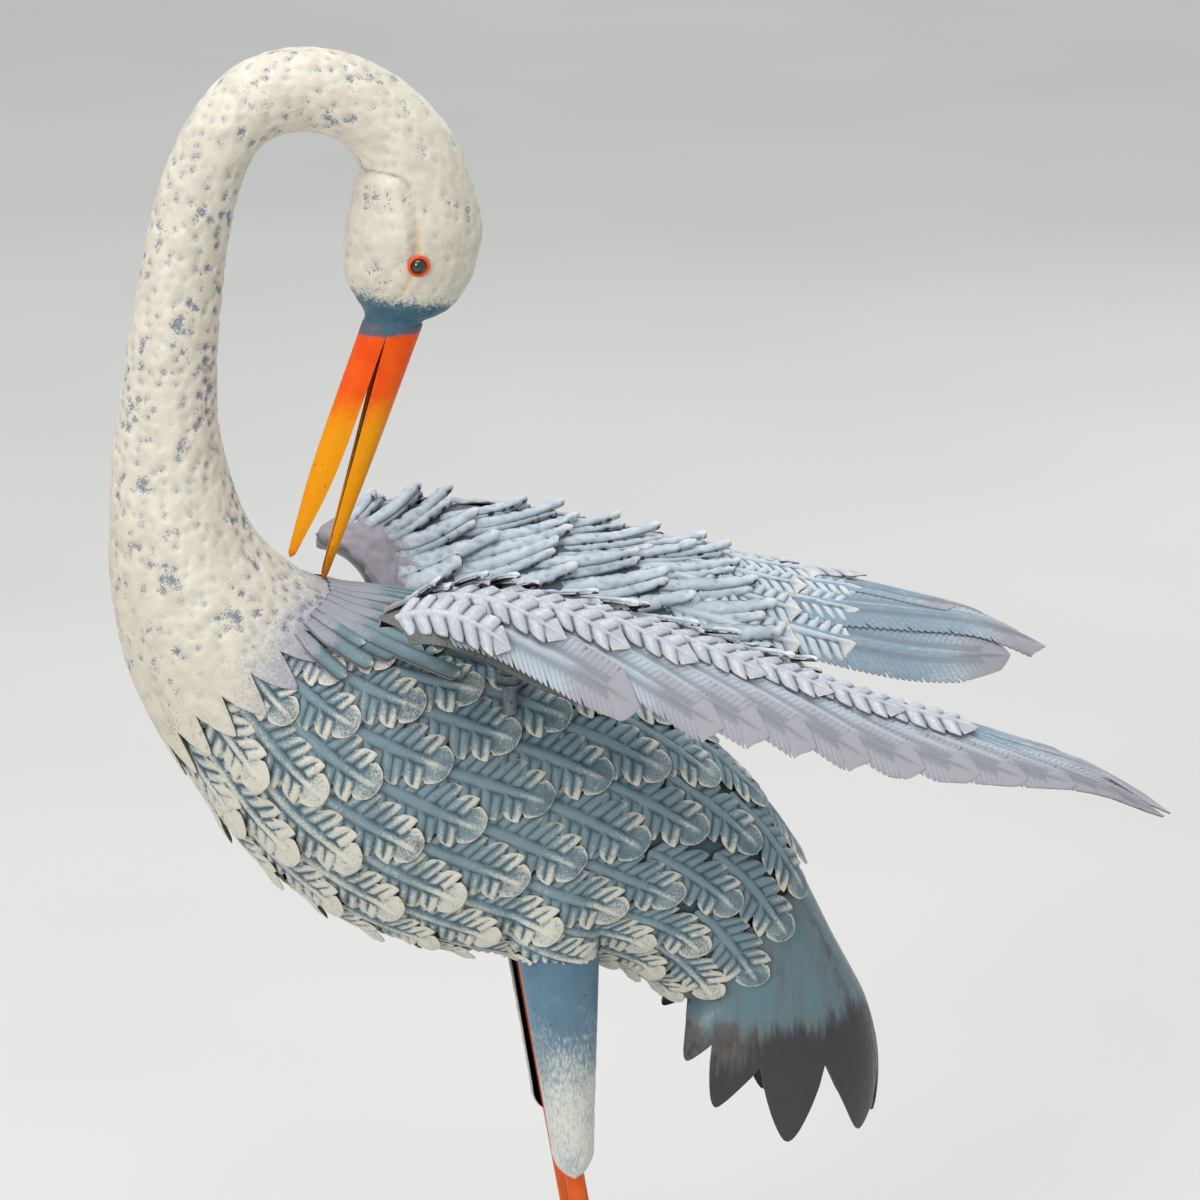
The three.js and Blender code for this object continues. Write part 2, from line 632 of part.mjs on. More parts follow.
function addWings() {
  const layers = [
    ['plate', wingPlateGeometry(), 'lilacGrey'],
    ['quills', quillsGeometry(), 'lilacGrey'],
    ['side_coverts', sideCovertsGeometry(), 'paleBlue'],
    ['rear_coverts', rearCovertsGeometry(), 'paleBlue'],
    ['shoulder', shoulderGeometry(), 'paleBlue'],
  ];
  for (let row = 0; row < FINGER_ROWS; row += 1) {
    layers.push([`fingers_${row + 1}`, fingersGeometry(row), 'paleBlue']);
  }
  layers.forEach(([name, geometry, paint]) => {
    addPiece(`wing_right_${name}`, geometry, paint);
    addPiece(`wing_left_${name}`, setBackLeft(mirrored(geometry)), paint);
  });
}

// Beak: D-shaped channel sections from the base to the tip, hollow toward the gap.
function mandibleGeometry({ outer, inner, halfBase, halfTip }) {
  const edge = (points, f) => new THREE.Vector3(
    smooth(points.map((p) => p[0]), 2 * f), 0, smooth(points.map((p) => p[1]), 2 * f));
  const rings = [];
  for (let i = 0; i <= BEAK_STEPS; i += 1) {
    const f = i / BEAK_STEPS;
    const out = edge(outer, f);
    const into = edge(inner, f);
    const half = lerp(halfBase, halfTip, f);
    const place = (depth, side) => into.clone().lerp(out, depth).add(new THREE.Vector3(0, side * half, 0));
    const groove = place(BEAK_GROOVE * (1 - f / 2), 0);
    rings.push([...BEAK_PROFILE.map(([depth, side]) => place(depth, side)), groove]);
  }
  return loftGeometry(rings);
}

// Eyes: a bead and a flat ring, square to the side of the head.
function addEyes() {
  const { bead, ring, ringInner, ringThickness, sides } = EYE;
  const angle = radians(EYE.angle);
  const onHead = (position, turn) => sectionPoint(position, turn, 0);
  const normal = surfaceNormal(onHead, EYE.section, angle, new THREE.Vector3(0, 1, 0));
  const centre = onHead(EYE.section, angle).addScaledVector(normal, TOUCH_GAP);
  const beadProfile = [[0, 0], [bead, 0], [bead * 0.9, bead * 0.45], [bead * 0.5, bead * 0.8], [0, bead * 0.9]];
  const ringProfile = [[ringInner, 0], [ring, 0], [ring * 0.93, ringThickness],
    [ringInner, ringThickness * 0.8], [ringInner, 0]];
  const pieces = [['eye', beadProfile, 'gloss'], ['eye_ring', ringProfile, 'orange']];
  const square = new THREE.Quaternion().setFromUnitVectors(new THREE.Vector3(0, 1, 0), normal);
  pieces.forEach(([name, profile, paint]) => {
    const points = profile.map(([r, h]) => new THREE.Vector2(r, h));
    const shape = mergedGeometry(new THREE.LatheGeometry(points, sides));
    shape.applyQuaternion(square).translate(centre.x, centre.y, centre.z);
    addPiece(`${name}_right`, shape, paint);
    addPiece(`${name}_left`, mirrored(shape), paint);
  });
}

function mergedGeometry(source) {
  const bare = source.clone();
  bare.deleteAttribute('normal');
  bare.deleteAttribute('uv');
  const plain = bare.index ? bare.toNonIndexed() : bare;
  const p = plain.attributes.position;
  const triangles = [];
  for (let k = 0; k < p.count; k += 3) {
    triangles.push([0, 1, 2].map((c) => new THREE.Vector3().fromBufferAttribute(p, k + c)));
  }
  return closedGeometry(triangles);
}

// Thigh: a tapering half shell, its open side toward the other leg.
function thighGeometry() {
  const { top, middle, tip, sheet, outerFace, lowerOuterFace, wrap, columns } = THIGH;
  const levels = [top, middle, tip];
  const grid = (inset) => levels.map((level) => {
    const face = lerp(outerFace, lowerOuterFace, (top.z - level.z) / (top.z - tip.z));
    return Array.from({ length: columns + 1 }, (_, j) => {
      const turn = radians(lerp(-wrap, wrap, j / columns));
      const x = level.x + (level.halfWidth - inset) * Math.sin(turn);
      const y = face - level.depth + (level.depth - inset) * Math.cos(turn);
      return new THREE.Vector3(x, y, level.z);
    });
  });
  return sheetGeometry(grid(0), grid(sheet), false);
}

// The envelope of the feathered body, which the thigh shells stop short of.
function envelopeGeometry() {
  const stations = [];
  for (let k = 0; k <= ROWS; k += 1) stations.push(LAST_ROW_TIP + k * ROW_PITCH);
  const lift = FEATHER_GAP + 2 * FEATHER_RISE + FEATHER_SHEET + FEATHER_RIDGE + TOUCH_GAP;
  return loftGeometry(stations.map((along) => ringOf(
    FEATHERS_PER_ROW * COLUMNS_PER_FEATHER, (angle) => bodyPoint(along, angle, lift))));
}

function rodGeometry() {
  const { radius, kneeRadius, footRadius, sides, top, knee, foot } = ROD;
  const at = (a, b, f) => [lerp(a[0], b[0], f), lerp(a[1], b[1], f)];
  const stops = [
    [top, radius], [at(top, knee, 0.93), radius], [at(top, knee, 0.975), kneeRadius * 0.9],
    [at(knee, foot, 0.04), kneeRadius], [at(knee, foot, 0.14), radius], [foot, footRadius],
  ];
  return loftGeometry(stops.map(([[x, z], r]) => ringOf(sides, (angle) => (
    new THREE.Vector3(x + r * Math.cos(angle), ROD.side + r * Math.sin(angle), z)))));
}

function footGeometry() {
  const { hubRadius, height, toeRadius, tipRadius, forward, side, back, spread } = FOOT;
  const floor = BASE.thickness + TOUCH_GAP;
  const levels = [floor, ROD.foot[1] - TOUCH_GAP];
  const hub = loftGeometry(levels.map((z, k) => ringOf(ROD.sides, (angle) => new THREE.Vector3(
    ROD.foot[0] + hubRadius[k] * Math.cos(angle), ROD.side + hubRadius[k] * Math.sin(angle), z))));
  const toe = (heading, length) => {
    const direction = new THREE.Vector3(Math.cos(heading), Math.sin(heading), 0);
    const sideways = new THREE.Vector3(-direction.y, direction.x, 0);
    const start = new THREE.Vector3(ROD.foot[0], ROD.side, floor);
    const rings = [...TOE_RINGS, [1, tipRadius / toeRadius, 0.25]];
    return loftGeometry(rings.map(([reach, wide, high]) => TOE_PROFILE.map(([u, v]) => (
      start.clone().addScaledVector(direction, reach * length)
        .addScaledVector(sideways, u * wide * toeRadius)
        .add(new THREE.Vector3(0, 0, v * high * height))))));
  };
  const ahead = Math.PI;
  const turn = radians(spread);
  return joined([hub, toe(ahead, forward), toe(ahead - turn, side), toe(ahead + turn, side), toe(0, back)]);
}

function addLegs() {
  const envelope = toManifold(envelopeGeometry());
  const thigh = fromManifold(toManifold(thighGeometry()).subtract(envelope));
  [['right', (g) => g], ['left', mirrored]].forEach(([side, place]) => {
    addPiece(`thigh_${side}`, place(thigh), 'blueGrey');
    addPiece(`leg_${side}`, place(rodGeometry()), 'orange');
    addPiece(`foot_${side}`, place(footGeometry()), 'orange');
  });
}

function addWingBolts() {
  const { x, y, from, nut, nutTop, top, radius, nutRadius, sides } = WING_BOLT;
  const stops = [[from, radius], [nut, radius], [nut, nutRadius], [nutTop, nutRadius], [nutTop, radius],
    [top, radius]];
  const column = loftGeometry(stops.map(([z, r]) => ringOf(sides, (angle) => (
    new THREE.Vector3(x + r * Math.cos(angle), y + r * Math.sin(angle), z)))));
  const bolt = fromManifold(toManifold(column).subtract(toManifold(envelopeGeometry())));
  addPiece('wing_bolt_right', bolt, 'steel');
  addPiece('wing_bolt_left', mirrored(bolt), 'steel');
}

function baseGeometry() {
  const { length, width, thickness, corner, segments } = BASE;
  const shape = new THREE.Shape();
  const x = length / 2;
  const y = width / 2;
  shape.moveTo(-x + corner, -y);
  shape.lineTo(x - corner, -y);
  shape.absarc(x - corner, -y + corner, corner, -Math.PI / 2, 0);
  shape.lineTo(x, y - corner);
  shape.absarc(x - corner, y - corner, corner, 0, Math.PI / 2);
  shape.lineTo(-x + corner, y);
  shape.absarc(-x + corner, y - corner, corner, Math.PI / 2, Math.PI);
  shape.lineTo(-x, -y + corner);
  shape.absarc(-x + corner, -y + corner, corner, Math.PI, Math.PI * 1.5);
  return mergedGeometry(new THREE.ExtrudeGeometry(shape, {
    depth: thickness, bevelEnabled: false, curveSegments: segments,
  }));
}

addPiece('neck_and_breast', neckGeometry(), 'cream');
addPiece('beak_upper', mandibleGeometry(UPPER_MANDIBLE), 'orange');
addPiece('beak_lower', mandibleGeometry(LOWER_MANDIBLE), 'yellow');
addEyes();
addPiece('body_shell', shellGeometry(), 'blueGrey');
for (let row = 0; row < ROWS; row += 1) {
  addPiece(`body_feathers_${ROWS - row}`, featherRowGeometry(row), 'dryBrushed');
}
addPiece('tail_fan', fanGeometry(), 'charcoal');
addWings();
addWingBolts();
addLegs();
addPiece('base_plate', baseGeometry(), 'darkBase');

export default egret;
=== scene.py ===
"""Preening egret in painted sheet steel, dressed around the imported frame.

Shapes are worked out in millimetres in the part's own frame (the bird faces -X, its left
side is -Y, the base's underside is Z = 0) and turned to metres when a mesh is made.
"""

import logging
import math
from dataclasses import astuple, dataclass, field, replace
from enum import Enum
from typing import Sequence

import bpy
import numpy as np
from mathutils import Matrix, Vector


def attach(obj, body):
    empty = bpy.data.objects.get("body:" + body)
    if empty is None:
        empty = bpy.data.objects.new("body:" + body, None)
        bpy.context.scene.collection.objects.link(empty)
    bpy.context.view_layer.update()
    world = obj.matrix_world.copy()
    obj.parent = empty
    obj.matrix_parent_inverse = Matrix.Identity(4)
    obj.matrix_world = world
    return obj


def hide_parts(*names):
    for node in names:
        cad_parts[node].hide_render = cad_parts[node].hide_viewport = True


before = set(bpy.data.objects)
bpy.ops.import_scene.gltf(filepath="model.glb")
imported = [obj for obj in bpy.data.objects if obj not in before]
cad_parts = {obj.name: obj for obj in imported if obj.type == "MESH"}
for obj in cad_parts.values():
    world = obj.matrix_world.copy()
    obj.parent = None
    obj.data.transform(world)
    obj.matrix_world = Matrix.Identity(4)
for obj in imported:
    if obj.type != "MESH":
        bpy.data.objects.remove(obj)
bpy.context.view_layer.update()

Array = np.ndarray
Colour = tuple[int, int, int]
Socket = bpy.types.NodeSocket
MM = 0.001
LOG = logging.getLogger("egret")


class Map(str, Enum):
    """Point attributes that carry the paint over a surface."""

    # Ridge: how raised a point lies; high values take a painted highlight, low ones painted shade in
    # grooves and gaps.
    RIDGE = "ridge"
    EDGE = "edge"
    REGION = "region"
    WASH = "wash"
    TONE = "tone"
    STAIN = "stain"
    # Under: marks inner faces, painted dark partly as the sheet's own inside and partly as painted shade.
    UNDER = "under"
    HAMMER = "hammer"
    # Pit: depth of a hammer dimple, darkened partly by paint gathered in it and partly as painted shade.
    PIT = "pit"


MAP_DEFAULTS = {Map.RIDGE: 0.5, Map.TONE: 0.5}


class Side(Enum):
    """Sides of the bird, as the sign of Y."""

    RIGHT = 1
    LEFT = -1

    @property
    def word(self) -> str:
        """The side's name as pieces carry it."""
        return self.name.lower()


def lerp(a: Array | float, b: Array | float, f: Array | float) -> Array | float:
    """Value a share f of the way from a to b."""
    return a + (b - a) * f


def rise(low: float, high: float, value: Array | float) -> Array:
    """Smooth step from 0 at low to 1 at high, either way round."""
    f = np.clip((np.asarray(value, float) - low) / (high - low), 0.0, 1.0)
    return f * f * (3.0 - 2.0 * f)


def bell(value: Array | float, width: float) -> Array:
    """Bell curve of height 1 round zero."""
    return np.exp(-((np.asarray(value, float) / width) ** 2))


def round_end(f: Array, start: float, floor: float) -> Array:
    """Factor that rounds a run off between the share start and its end, its square above a floor."""
    return np.sqrt(np.clip(1 - ((f - start) / (1 - start)).clip(0, 1) ** 2, floor, 1))


def full_turn(steps: int) -> Array:
    """Angles once round, in equal steps from zero."""
    return np.linspace(0, 2 * np.pi, steps, endpoint=False)


def grid(rows: int, columns: int, low: float, high: float) -> tuple[Array, Array]:
    """Shares from 0 to 1 down the rows and from low to high across the columns."""
    return np.linspace(0, 1, rows)[:, None], np.linspace(low, high, columns)[None, :]


def ring(x: Array | float, y: Array | float, z: Array | float, radius: Array | float,
         turn: Array) -> Array:
    """Points of a level ring at the angles of turn."""
    return np.stack(np.broadcast_arrays(x + radius * np.cos(turn), y + radius * np.sin(turn), z), -1)


def smooth(knots: Array, position: Array | float) -> Array:
    """Catmull-Rom values through equally spaced knots, straight past either end.

    Args:
        knots: one row of values for each knot.
        position: places along the knots, in knots.

    Returns:
        One row of values for each place.
    """
    at = np.asarray(position, float)
    last = len(knots) - 1
    padded = np.concatenate([2 * knots[:1] - knots[1:2], knots, 2 * knots[-1:] - knots[-2:-1]])
    i = np.minimum(np.floor(np.clip(at, 0, last)).astype(int), last - 1)
    f = (at - i)[..., None]
    before, p, q, after = (padded[i + k] for k in range(4))
    curve = 0.5 * (2 * p + (q - before) * f + (2 * before - 5 * p + 4 * q - after) * f ** 2
                   + (3 * p - before - 3 * q + after) * f ** 3)
    return np.where(((at < 0) | (at > last))[..., None], p + (q - p) * f, curve)


@dataclass
class Trunk:
    """Loft of the trunk, neck and head: each section's back and belly points and half width."""

    sections: tuple = (
        (190, 350, 85, 318, 44), (152, 434, 40, 345, 60), (102, 494, -18, 353, 71),
        (42, 538, -72, 362, 75), (-18, 564, -126, 384, 75), (-70, 579, -178, 428, 72),
        (-100, 586, -218, 488, 66), (-115, 590, -244, 545, 59), (-140, 601, -253, 600, 51),
        (-166, 628, -252, 642, 42), (-180, 665, -250, 672, 34), (-186, 707, -245, 705, 29),
        (-182, 767, -234, 769, 25.5), (-174, 818, -214, 848, 24), (-161, 853, -180, 900, 24),
        (-139, 865, -135, 916, 24), (-113, 859, -87, 903, 24.5), (-102, 840, -48, 866, 28),
        (-108, 813, -30, 815, 31.5), (-111, 796, -31, 792, 31), (-111, 781, -37, 773, 28),
        (-106, 768, -49, 758, 22), (-100, 757, -64, 751, 14.5), (-103, 746, -68, 743, 12),
    )
    shell_depth: float = 6.5
    table_step: float = 0.05

    def __post_init__(self) -> None:
        """Tabulates the length of the centre line, from the tail end forward."""
        self.knots = np.array(self.sections, float)
        self.stops = np.arange(0, len(self.sections) - 1 + 1e-9, self.table_step)
        centre = self.section(self.stops)[0]
        steps = np.linalg.norm(np.diff(centre, axis=0), axis=1)
        self.lengths = np.concatenate([[0.0], np.cumsum(steps)])

    def section(self, position: Array | float) -> tuple[Array, Array, Array, Array]:
        """Sections of the loft.

        Args:
            position: places along the sections, in sections.

        Returns:
            The centre in X and Z, the unit way to the back, half the depth and half the width.
        """
        s = smooth(self.knots, position)
        centre = (s[..., 0:2] + s[..., 2:4]) / 2
        to_back = (s[..., 0:2] - s[..., 2:4]) / 2
        depth = np.linalg.norm(to_back, axis=-1)
        return centre, to_back / depth[..., None], depth, s[..., 4]

    def point(self, position: Array | float, angle: Array | float, lift: Array | float) -> Array:
        """Points at a place along the sections, an angle from the back and a lift.

        Args:
            position: places along the sections.
            angle: radians from the back.
            lift: millimetres off the loft.

        Returns:
            The points.
        """
        centre, to_back, depth, half = self.section(position)
        out = (depth + lift) * np.cos(angle)
        x = centre[..., 0] + to_back[..., 0] * out
        y = (half + lift) * np.sin(angle)
        return np.stack(np.broadcast_arrays(x, y, centre[..., 1] + to_back[..., 1] * out), -1)

    def position_at(self, along: Array | float) -> Array:
        """Place along the sections at a length from the tail end.

        Args:
            along: lengths from the tail end.

        Returns:
            Places along the sections.
        """
        along = np.asarray(along, float)
        before = along / self.lengths[1] * self.table_step
        return np.where(along < 0, before, np.interp(along, self.lengths, self.stops))

    def length_at(self, position: float) -> float:
        """Length from the tail end to a place along the sections."""
        return float(np.interp(position, self.stops, self.lengths))

    def body(self, along: Array | float, angle: Array | float, lift: Array | float) -> Array:
        """Points of the body by length, with lift zero on the shell under the feathers."""
        return self.point(self.position_at(along), angle, np.asarray(lift) - self.shell_depth)

    def girth(self, along: Array | float, angle: Array | float) -> Array:
        """Millimetres round the body for one radian of angle.

        Args:
            along: lengths from the tail end.
            angle: radians from the back.

        Returns:
            Millimetres for one radian.
        """
        step = 0.01
        gap = self.body(along, angle + step, 0.0) - self.body(along, angle - step, 0.0)
        return np.linalg.norm(gap, axis=-1) / (2 * step)


@dataclass
class MeshData:
    """Points in millimetres, four-sided faces and the paint maps of one mesh."""

    points: Array
    faces: Array
    maps: dict[Map, Array] = field(default_factory=dict)

    @staticmethod
    def sheet(outer: Array, inner: Array, maps: dict[Map, Array]) -> "MeshData":
        """Closed sheet between an outer and an inner grid of points.

        Args:
            outer: rows by columns of points.
            inner: the same for the other face.
            maps: paint maps of the outer face, used on both faces.

        Returns:
            The closed mesh, its inner face marked as the underside.
        """
        rows, columns = outer.shape[:2]
        shift = rows * columns
        index = np.arange(shift).reshape(rows, columns)
        left, right = index[:, :-1], index[:, 1:]
        first, last = index[:, 0], index[:, -1]
        quads = [
            (left[:-1], right[:-1], right[1:], left[1:]),
            (left[:-1] + shift, left[1:] + shift, right[1:] + shift, right[:-1] + shift),
            (right[:1], left[:1], left[:1] + shift, right[:1] + shift),
            (left[-1:], right[-1:], right[-1:] + shift, left[-1:] + shift),
            (first[:-1], first[1:], first[1:] + shift, first[:-1] + shift),
            (last[1:], last[:-1], last[:-1] + shift, last[1:] + shift),
        ]
        faces = np.concatenate([np.stack(quad, -1).reshape(-1, 4) for quad in quads])
        both = {name: np.tile(np.broadcast_to(value, (rows, columns)).reshape(-1), 2)
                for name, value in maps.items()}
        both[Map.UNDER] = np.repeat([0.0, 1.0], shift)
        if Map.HAMMER in both:
            both[Map.HAMMER] = both[Map.HAMMER] * (1.0 - both[Map.UNDER])
        return MeshData(np.concatenate([outer.reshape(-1, 3), inner.reshape(-1, 3)]), faces, both)

    @staticmethod
    def loft(rings: Array, maps: dict[Map, Array]) -> "MeshData":
        """Solid through closed rings of points, with a fan of faces at each end.

        Args:
            rings: rings by points round.
            maps: paint maps, rings by points round.

        Returns:
            The closed mesh.
        """
        rows, columns = rings.shape[:2]
        index = np.arange(rows * columns).reshape(rows, columns)
        following = np.roll(index, -1, axis=1)
        start, end = (np.full(columns, rows * columns + k) for k in (0, 1))
        quads = [
            (index[:-1], following[:-1], following[1:], index[1:]),
            (start, following[0], index[0], start),
            (end, index[-1], following[-1], end),
        ]
        faces = np.concatenate([np.stack(quad, -1).reshape(-1, 4) for quad in quads])
        full = {}
        for name, value in maps.items():
            value = np.broadcast_to(value, (rows, columns))
            full[name] = np.concatenate([value.reshape(-1), value[[0, -1]].mean(axis=1)])
        points = np.concatenate([rings.reshape(-1, 3), rings[[0, -1]].mean(axis=1)])
        return MeshData(points, faces, full)

    def mirrored(self) -> "MeshData":
        """The same mesh on the bird's other side."""
        return MeshData(self.points * [1, -1, 1], self.faces[:, ::-1], dict(self.maps))

    @staticmethod
    def together(parts: Sequence["MeshData"]) -> "MeshData":
        """Several meshes as one, each closed on its own.

        Args:
            parts: the meshes.

        Returns:
            One mesh with all their paint maps.
        """
        shift = np.cumsum([0] + [len(p.points) for p in parts[:-1]])
        names = {name for p in parts for name in p.maps}
        maps = {name: np.concatenate([
            p.maps.get(name, np.full(len(p.points), MAP_DEFAULTS.get(name, 0.0))) for p in parts])
            for name in names}
        faces = np.concatenate([p.faces + s for p, s in zip(parts, shift)])
        return MeshData(np.concatenate([p.points for p in parts]), faces, maps)

    def volume(self) -> float:
        """Signed volume, positive when the faces point outwards."""
        a, b, c, d = (self.points[self.faces[:, k]] for k in range(4))
        return float((np.cross(b, c) * a).sum() + (np.cross(c, d) * a).sum()) / 6

    def to_object(self, name: str, material: bpy.types.Material, crease: float = 40.0) -> bpy.types.Object:
        """Makes a Blender object in metres, its faces outwards and its edges sharp past an angle.

        Args:
            name: the piece's name.
            material: its finish.
            crease: degrees past which an edge is shaded sharp.

        Returns:
            The object, linked to the scene.
        """
        faces = self.faces if self.volume() > 0 else self.faces[:, ::-1]
        lists = [list(dict.fromkeys(face)) for face in faces.tolist()]
        mesh = bpy.data.meshes.new(name)
        mesh.from_pydata((self.points * MM).tolist(), [], [f for f in lists if len(f) > 2])
        for paint_map in Map:
            values = self.maps.get(paint_map)
            if values is None:
                values = np.full(len(self.points), MAP_DEFAULTS.get(paint_map, 0.0))
            layer = mesh.attributes.new(paint_map.value, "FLOAT", "POINT")
            layer.data.foreach_set("value", np.asarray(values, np.float32).copy())
        mesh.materials.append(material)
        shade_by_angle(mesh, crease)
        return add_object(name, mesh)


def add_object(name: str, data: bpy.types.ID) -> bpy.types.Object:
    """Makes an object of some data and links it to the scene.

    Args:
        name: the object's name.
        data: its mesh, camera or light.

    Returns:
        The linked object.
    """
    added = bpy.data.objects.new(name, data)
    bpy.context.scene.collection.objects.link(added)
    return added


def shade_by_angle(mesh: bpy.types.Mesh, crease: float) -> None:
    """Smooth shading with sharp edges past an angle in degrees.

    Args:
        mesh: the mesh to shade.
        crease: the angle.
    """
    mesh.polygons.foreach_set("use_smooth", np.ones(len(mesh.polygons), bool))
    mesh.set_sharp_from_angle(angle=math.radians(crease))
    mesh.update()


def write_map(mesh: bpy.types.Mesh, paint_map: Map, values: Array) -> None:
    """Sets one paint map of a mesh."""
    mesh.attributes[paint_map.value].data.foreach_set("value", np.asarray(values, np.float32))


def settle(piece: bpy.types.Object, material: bpy.types.Material, crease: float = 40.0) -> bpy.types.Object:
    """Turns an object's modifiers into a plain mesh.

    Args:
        piece: the object whose modifiers are evaluated.
        material: the finish that the plain mesh keeps.
        crease: degrees past which an edge is shaded sharp.

    Returns:
        The same object with a plain mesh and no modifiers.
    """
    graph = bpy.context.evaluated_depsgraph_get()
    mesh = bpy.data.meshes.new_from_object(piece.evaluated_get(graph), depsgraph=graph)
    piece.modifiers.clear()
    spent = piece.data
    piece.data = mesh
    bpy.data.meshes.remove(spent)
    mesh.name = piece.name
    mesh.materials.clear()
    mesh.materials.append(material)
    shade_by_angle(mesh, crease)
    return piece


class NodeTree:
    """A node tree built node by node."""

    def __init__(self, tree: bpy.types.NodeTree) -> None:
        """Keeps the tree that nodes are added to."""
        self.tree = tree

    def feed(self, socket: Socket, value: object) -> None:
        """Links a socket into another, or sets its value.

        Args:
            socket: the input.
            value: a socket to link, or the value to set.
        """
        if isinstance(value, Socket):
            self.tree.links.new(value, socket)
        else:
            socket.default_value = value

    def fill(self, node: bpy.types.Node, **feeds: object) -> None:
        """Feeds a node's inputs by name, spaces as underscores."""
        for key, value in feeds.items():
            self.feed(node.inputs[key.replace("_", " ")], value)

    def node(self, kind: str, settings: dict | None = None, *values: object,
             **feeds: object) -> bpy.types.Node:
        """Adds a node.

        Args:
            kind: its Blender type.
            settings: its own properties.
            values: sockets or values for its first inputs, in order.
            feeds: sockets or values for its inputs by name, spaces as underscores.

        Returns:
            The node.
        """
        node = self.tree.nodes.new(kind)
        for key, value in (settings or {}).items():
            setattr(node, key, value)
        for socket, value in zip(node.inputs, values):
            self.feed(socket, value)
        self.fill(node, **feeds)
        return node

    def maths(self, operation: str, *values: Socket | float) -> Socket:
        """Adds one arithmetic node."""
        return self.node("ShaderNodeMath", {"operation": operation}, *values).outputs[0]


class GeometryTree(NodeTree):
    """A Geometry Nodes tree with named inputs."""

    def __init__(self, name: str, **inputs: str) -> None:
        """Starts the tree with a geometry input and output, named inputs and a material input.

        Args:
            name: the tree's name.
            inputs: each input's socket type by its label.
        """
        super().__init__(bpy.data.node_groups.new(name, "GeometryNodeTree"))
        face = self.tree.interface
        for way in ("OUTPUT", "INPUT"):
            face.new_socket("Geometry", in_out=way, socket_type="NodeSocketGeometry")
        self.keys = {
            label: face.new_socket(label, in_out="INPUT", socket_type=f"NodeSocket{kind}").identifier
            for label, kind in (inputs | {"Material": "Material"}).items()
        }
        self.start = self.tree.nodes.new("NodeGroupInput")
        self.end = self.tree.nodes.new("NodeGroupOutput")

    def given(self, label: str) -> Socket:
        """Socket that brings a named input in."""
        return self.start.outputs[label]

    def finish(self, geometry: Socket) -> None:
        """Realizes the geometry, gives it the Material input and sends it out.

        Args:
            geometry: what the tree has made.
        """
        real = self.node("GeometryNodeRealizeInstances", Geometry=geometry)
        dressed = self.node("GeometryNodeSetMaterial", Geometry=real.outputs[0],
                            Material=self.given("Material"))
        self.feed(self.end.inputs[0], dressed.outputs[0])

    def apply(self, piece: bpy.types.Object, **values: object) -> None:
        """Puts the tree on an object as a modifier, its inputs set by their identifiers.

        Args:
            piece: the object.
            values: the inputs' values by label.
        """
        modifier = piece.modifiers.new(self.tree.name, "NODES")
        modifier.node_group = self.tree
        for label, value in values.items():
            modifier[self.keys[label]] = value


class HammeredRelief(GeometryTree):
    """Shallow hammer dimples pressed into a surface along its normals."""

    SMOOTHNESS = 0.35
    SCATTER = 0.85
    RIPPLE = 0.6
    RIM_LEVEL = 0.35
    PIT_GAIN = -2.0

    def __init__(self) -> None:
        """Builds the tree: each point moves inwards by the distance to its dimple's rim."""
        super().__init__("hammered_relief", Cell="Float", Depth="Float")
        place = self.node("GeometryNodeInputPosition").outputs[0]
        normal = self.node("GeometryNodeInputNormal").outputs[0]
        mask = self.node("GeometryNodeInputNamedAttribute", {"data_type": "FLOAT"},
                         Name=Map.HAMMER.value).outputs[0]
        scale = self.maths("DIVIDE", 1.0, self.given("Cell"))
        dimple = self.node("ShaderNodeTexVoronoi", {"feature": "SMOOTH_F1"}, Vector=place,
                           Scale=scale, Smoothness=self.SMOOTHNESS,
                           Randomness=self.SCATTER).outputs["Distance"]
        ripple = self.node("ShaderNodeTexNoise", Vector=place, Scale=scale, Detail=1.0).outputs[0]
        depth = self.maths("SUBTRACT", dimple, self.maths("MULTIPLY", ripple, self.RIPPLE))
        inward = self.maths("MINIMUM", self.maths("SUBTRACT", depth, self.RIM_LEVEL), 0.0)
        pressed = self.maths("MULTIPLY", inward, mask)
        kept = self.node("GeometryNodeStoreNamedAttribute", {"data_type": "FLOAT", "domain": "POINT"},
                         Geometry=self.given("Geometry"), Name=Map.PIT.value,
                         Value=self.maths("MULTIPLY", pressed, self.PIT_GAIN))
        shift = self.maths("MULTIPLY", pressed, self.given("Depth"))
        offset = self.node("ShaderNodeVectorMath", {"operation": "SCALE"}, Vector=normal, Scale=shift)
        moved = self.node("GeometryNodeSetPosition", Geometry=kept.outputs[0],
                          Offset=offset.outputs[0])
        self.finish(moved.outputs[0])

    def press(self, piece: bpy.types.Object, cell: float, depth: float, crease: float = 40.0) -> None:
        """Presses dimples into a piece and leaves it a plain mesh.

        Args:
            piece: the object, whose hammer map says where.
            cell: distance between dimples in millimetres.
            depth: how deep they reach, in millimetres.
            crease: degrees past which an edge is shaded sharp.
        """
        material = piece.data.materials[0]
        self.apply(piece, Cell=cell * MM, Depth=depth * MM, Material=material)
        settle(piece, material, crease)


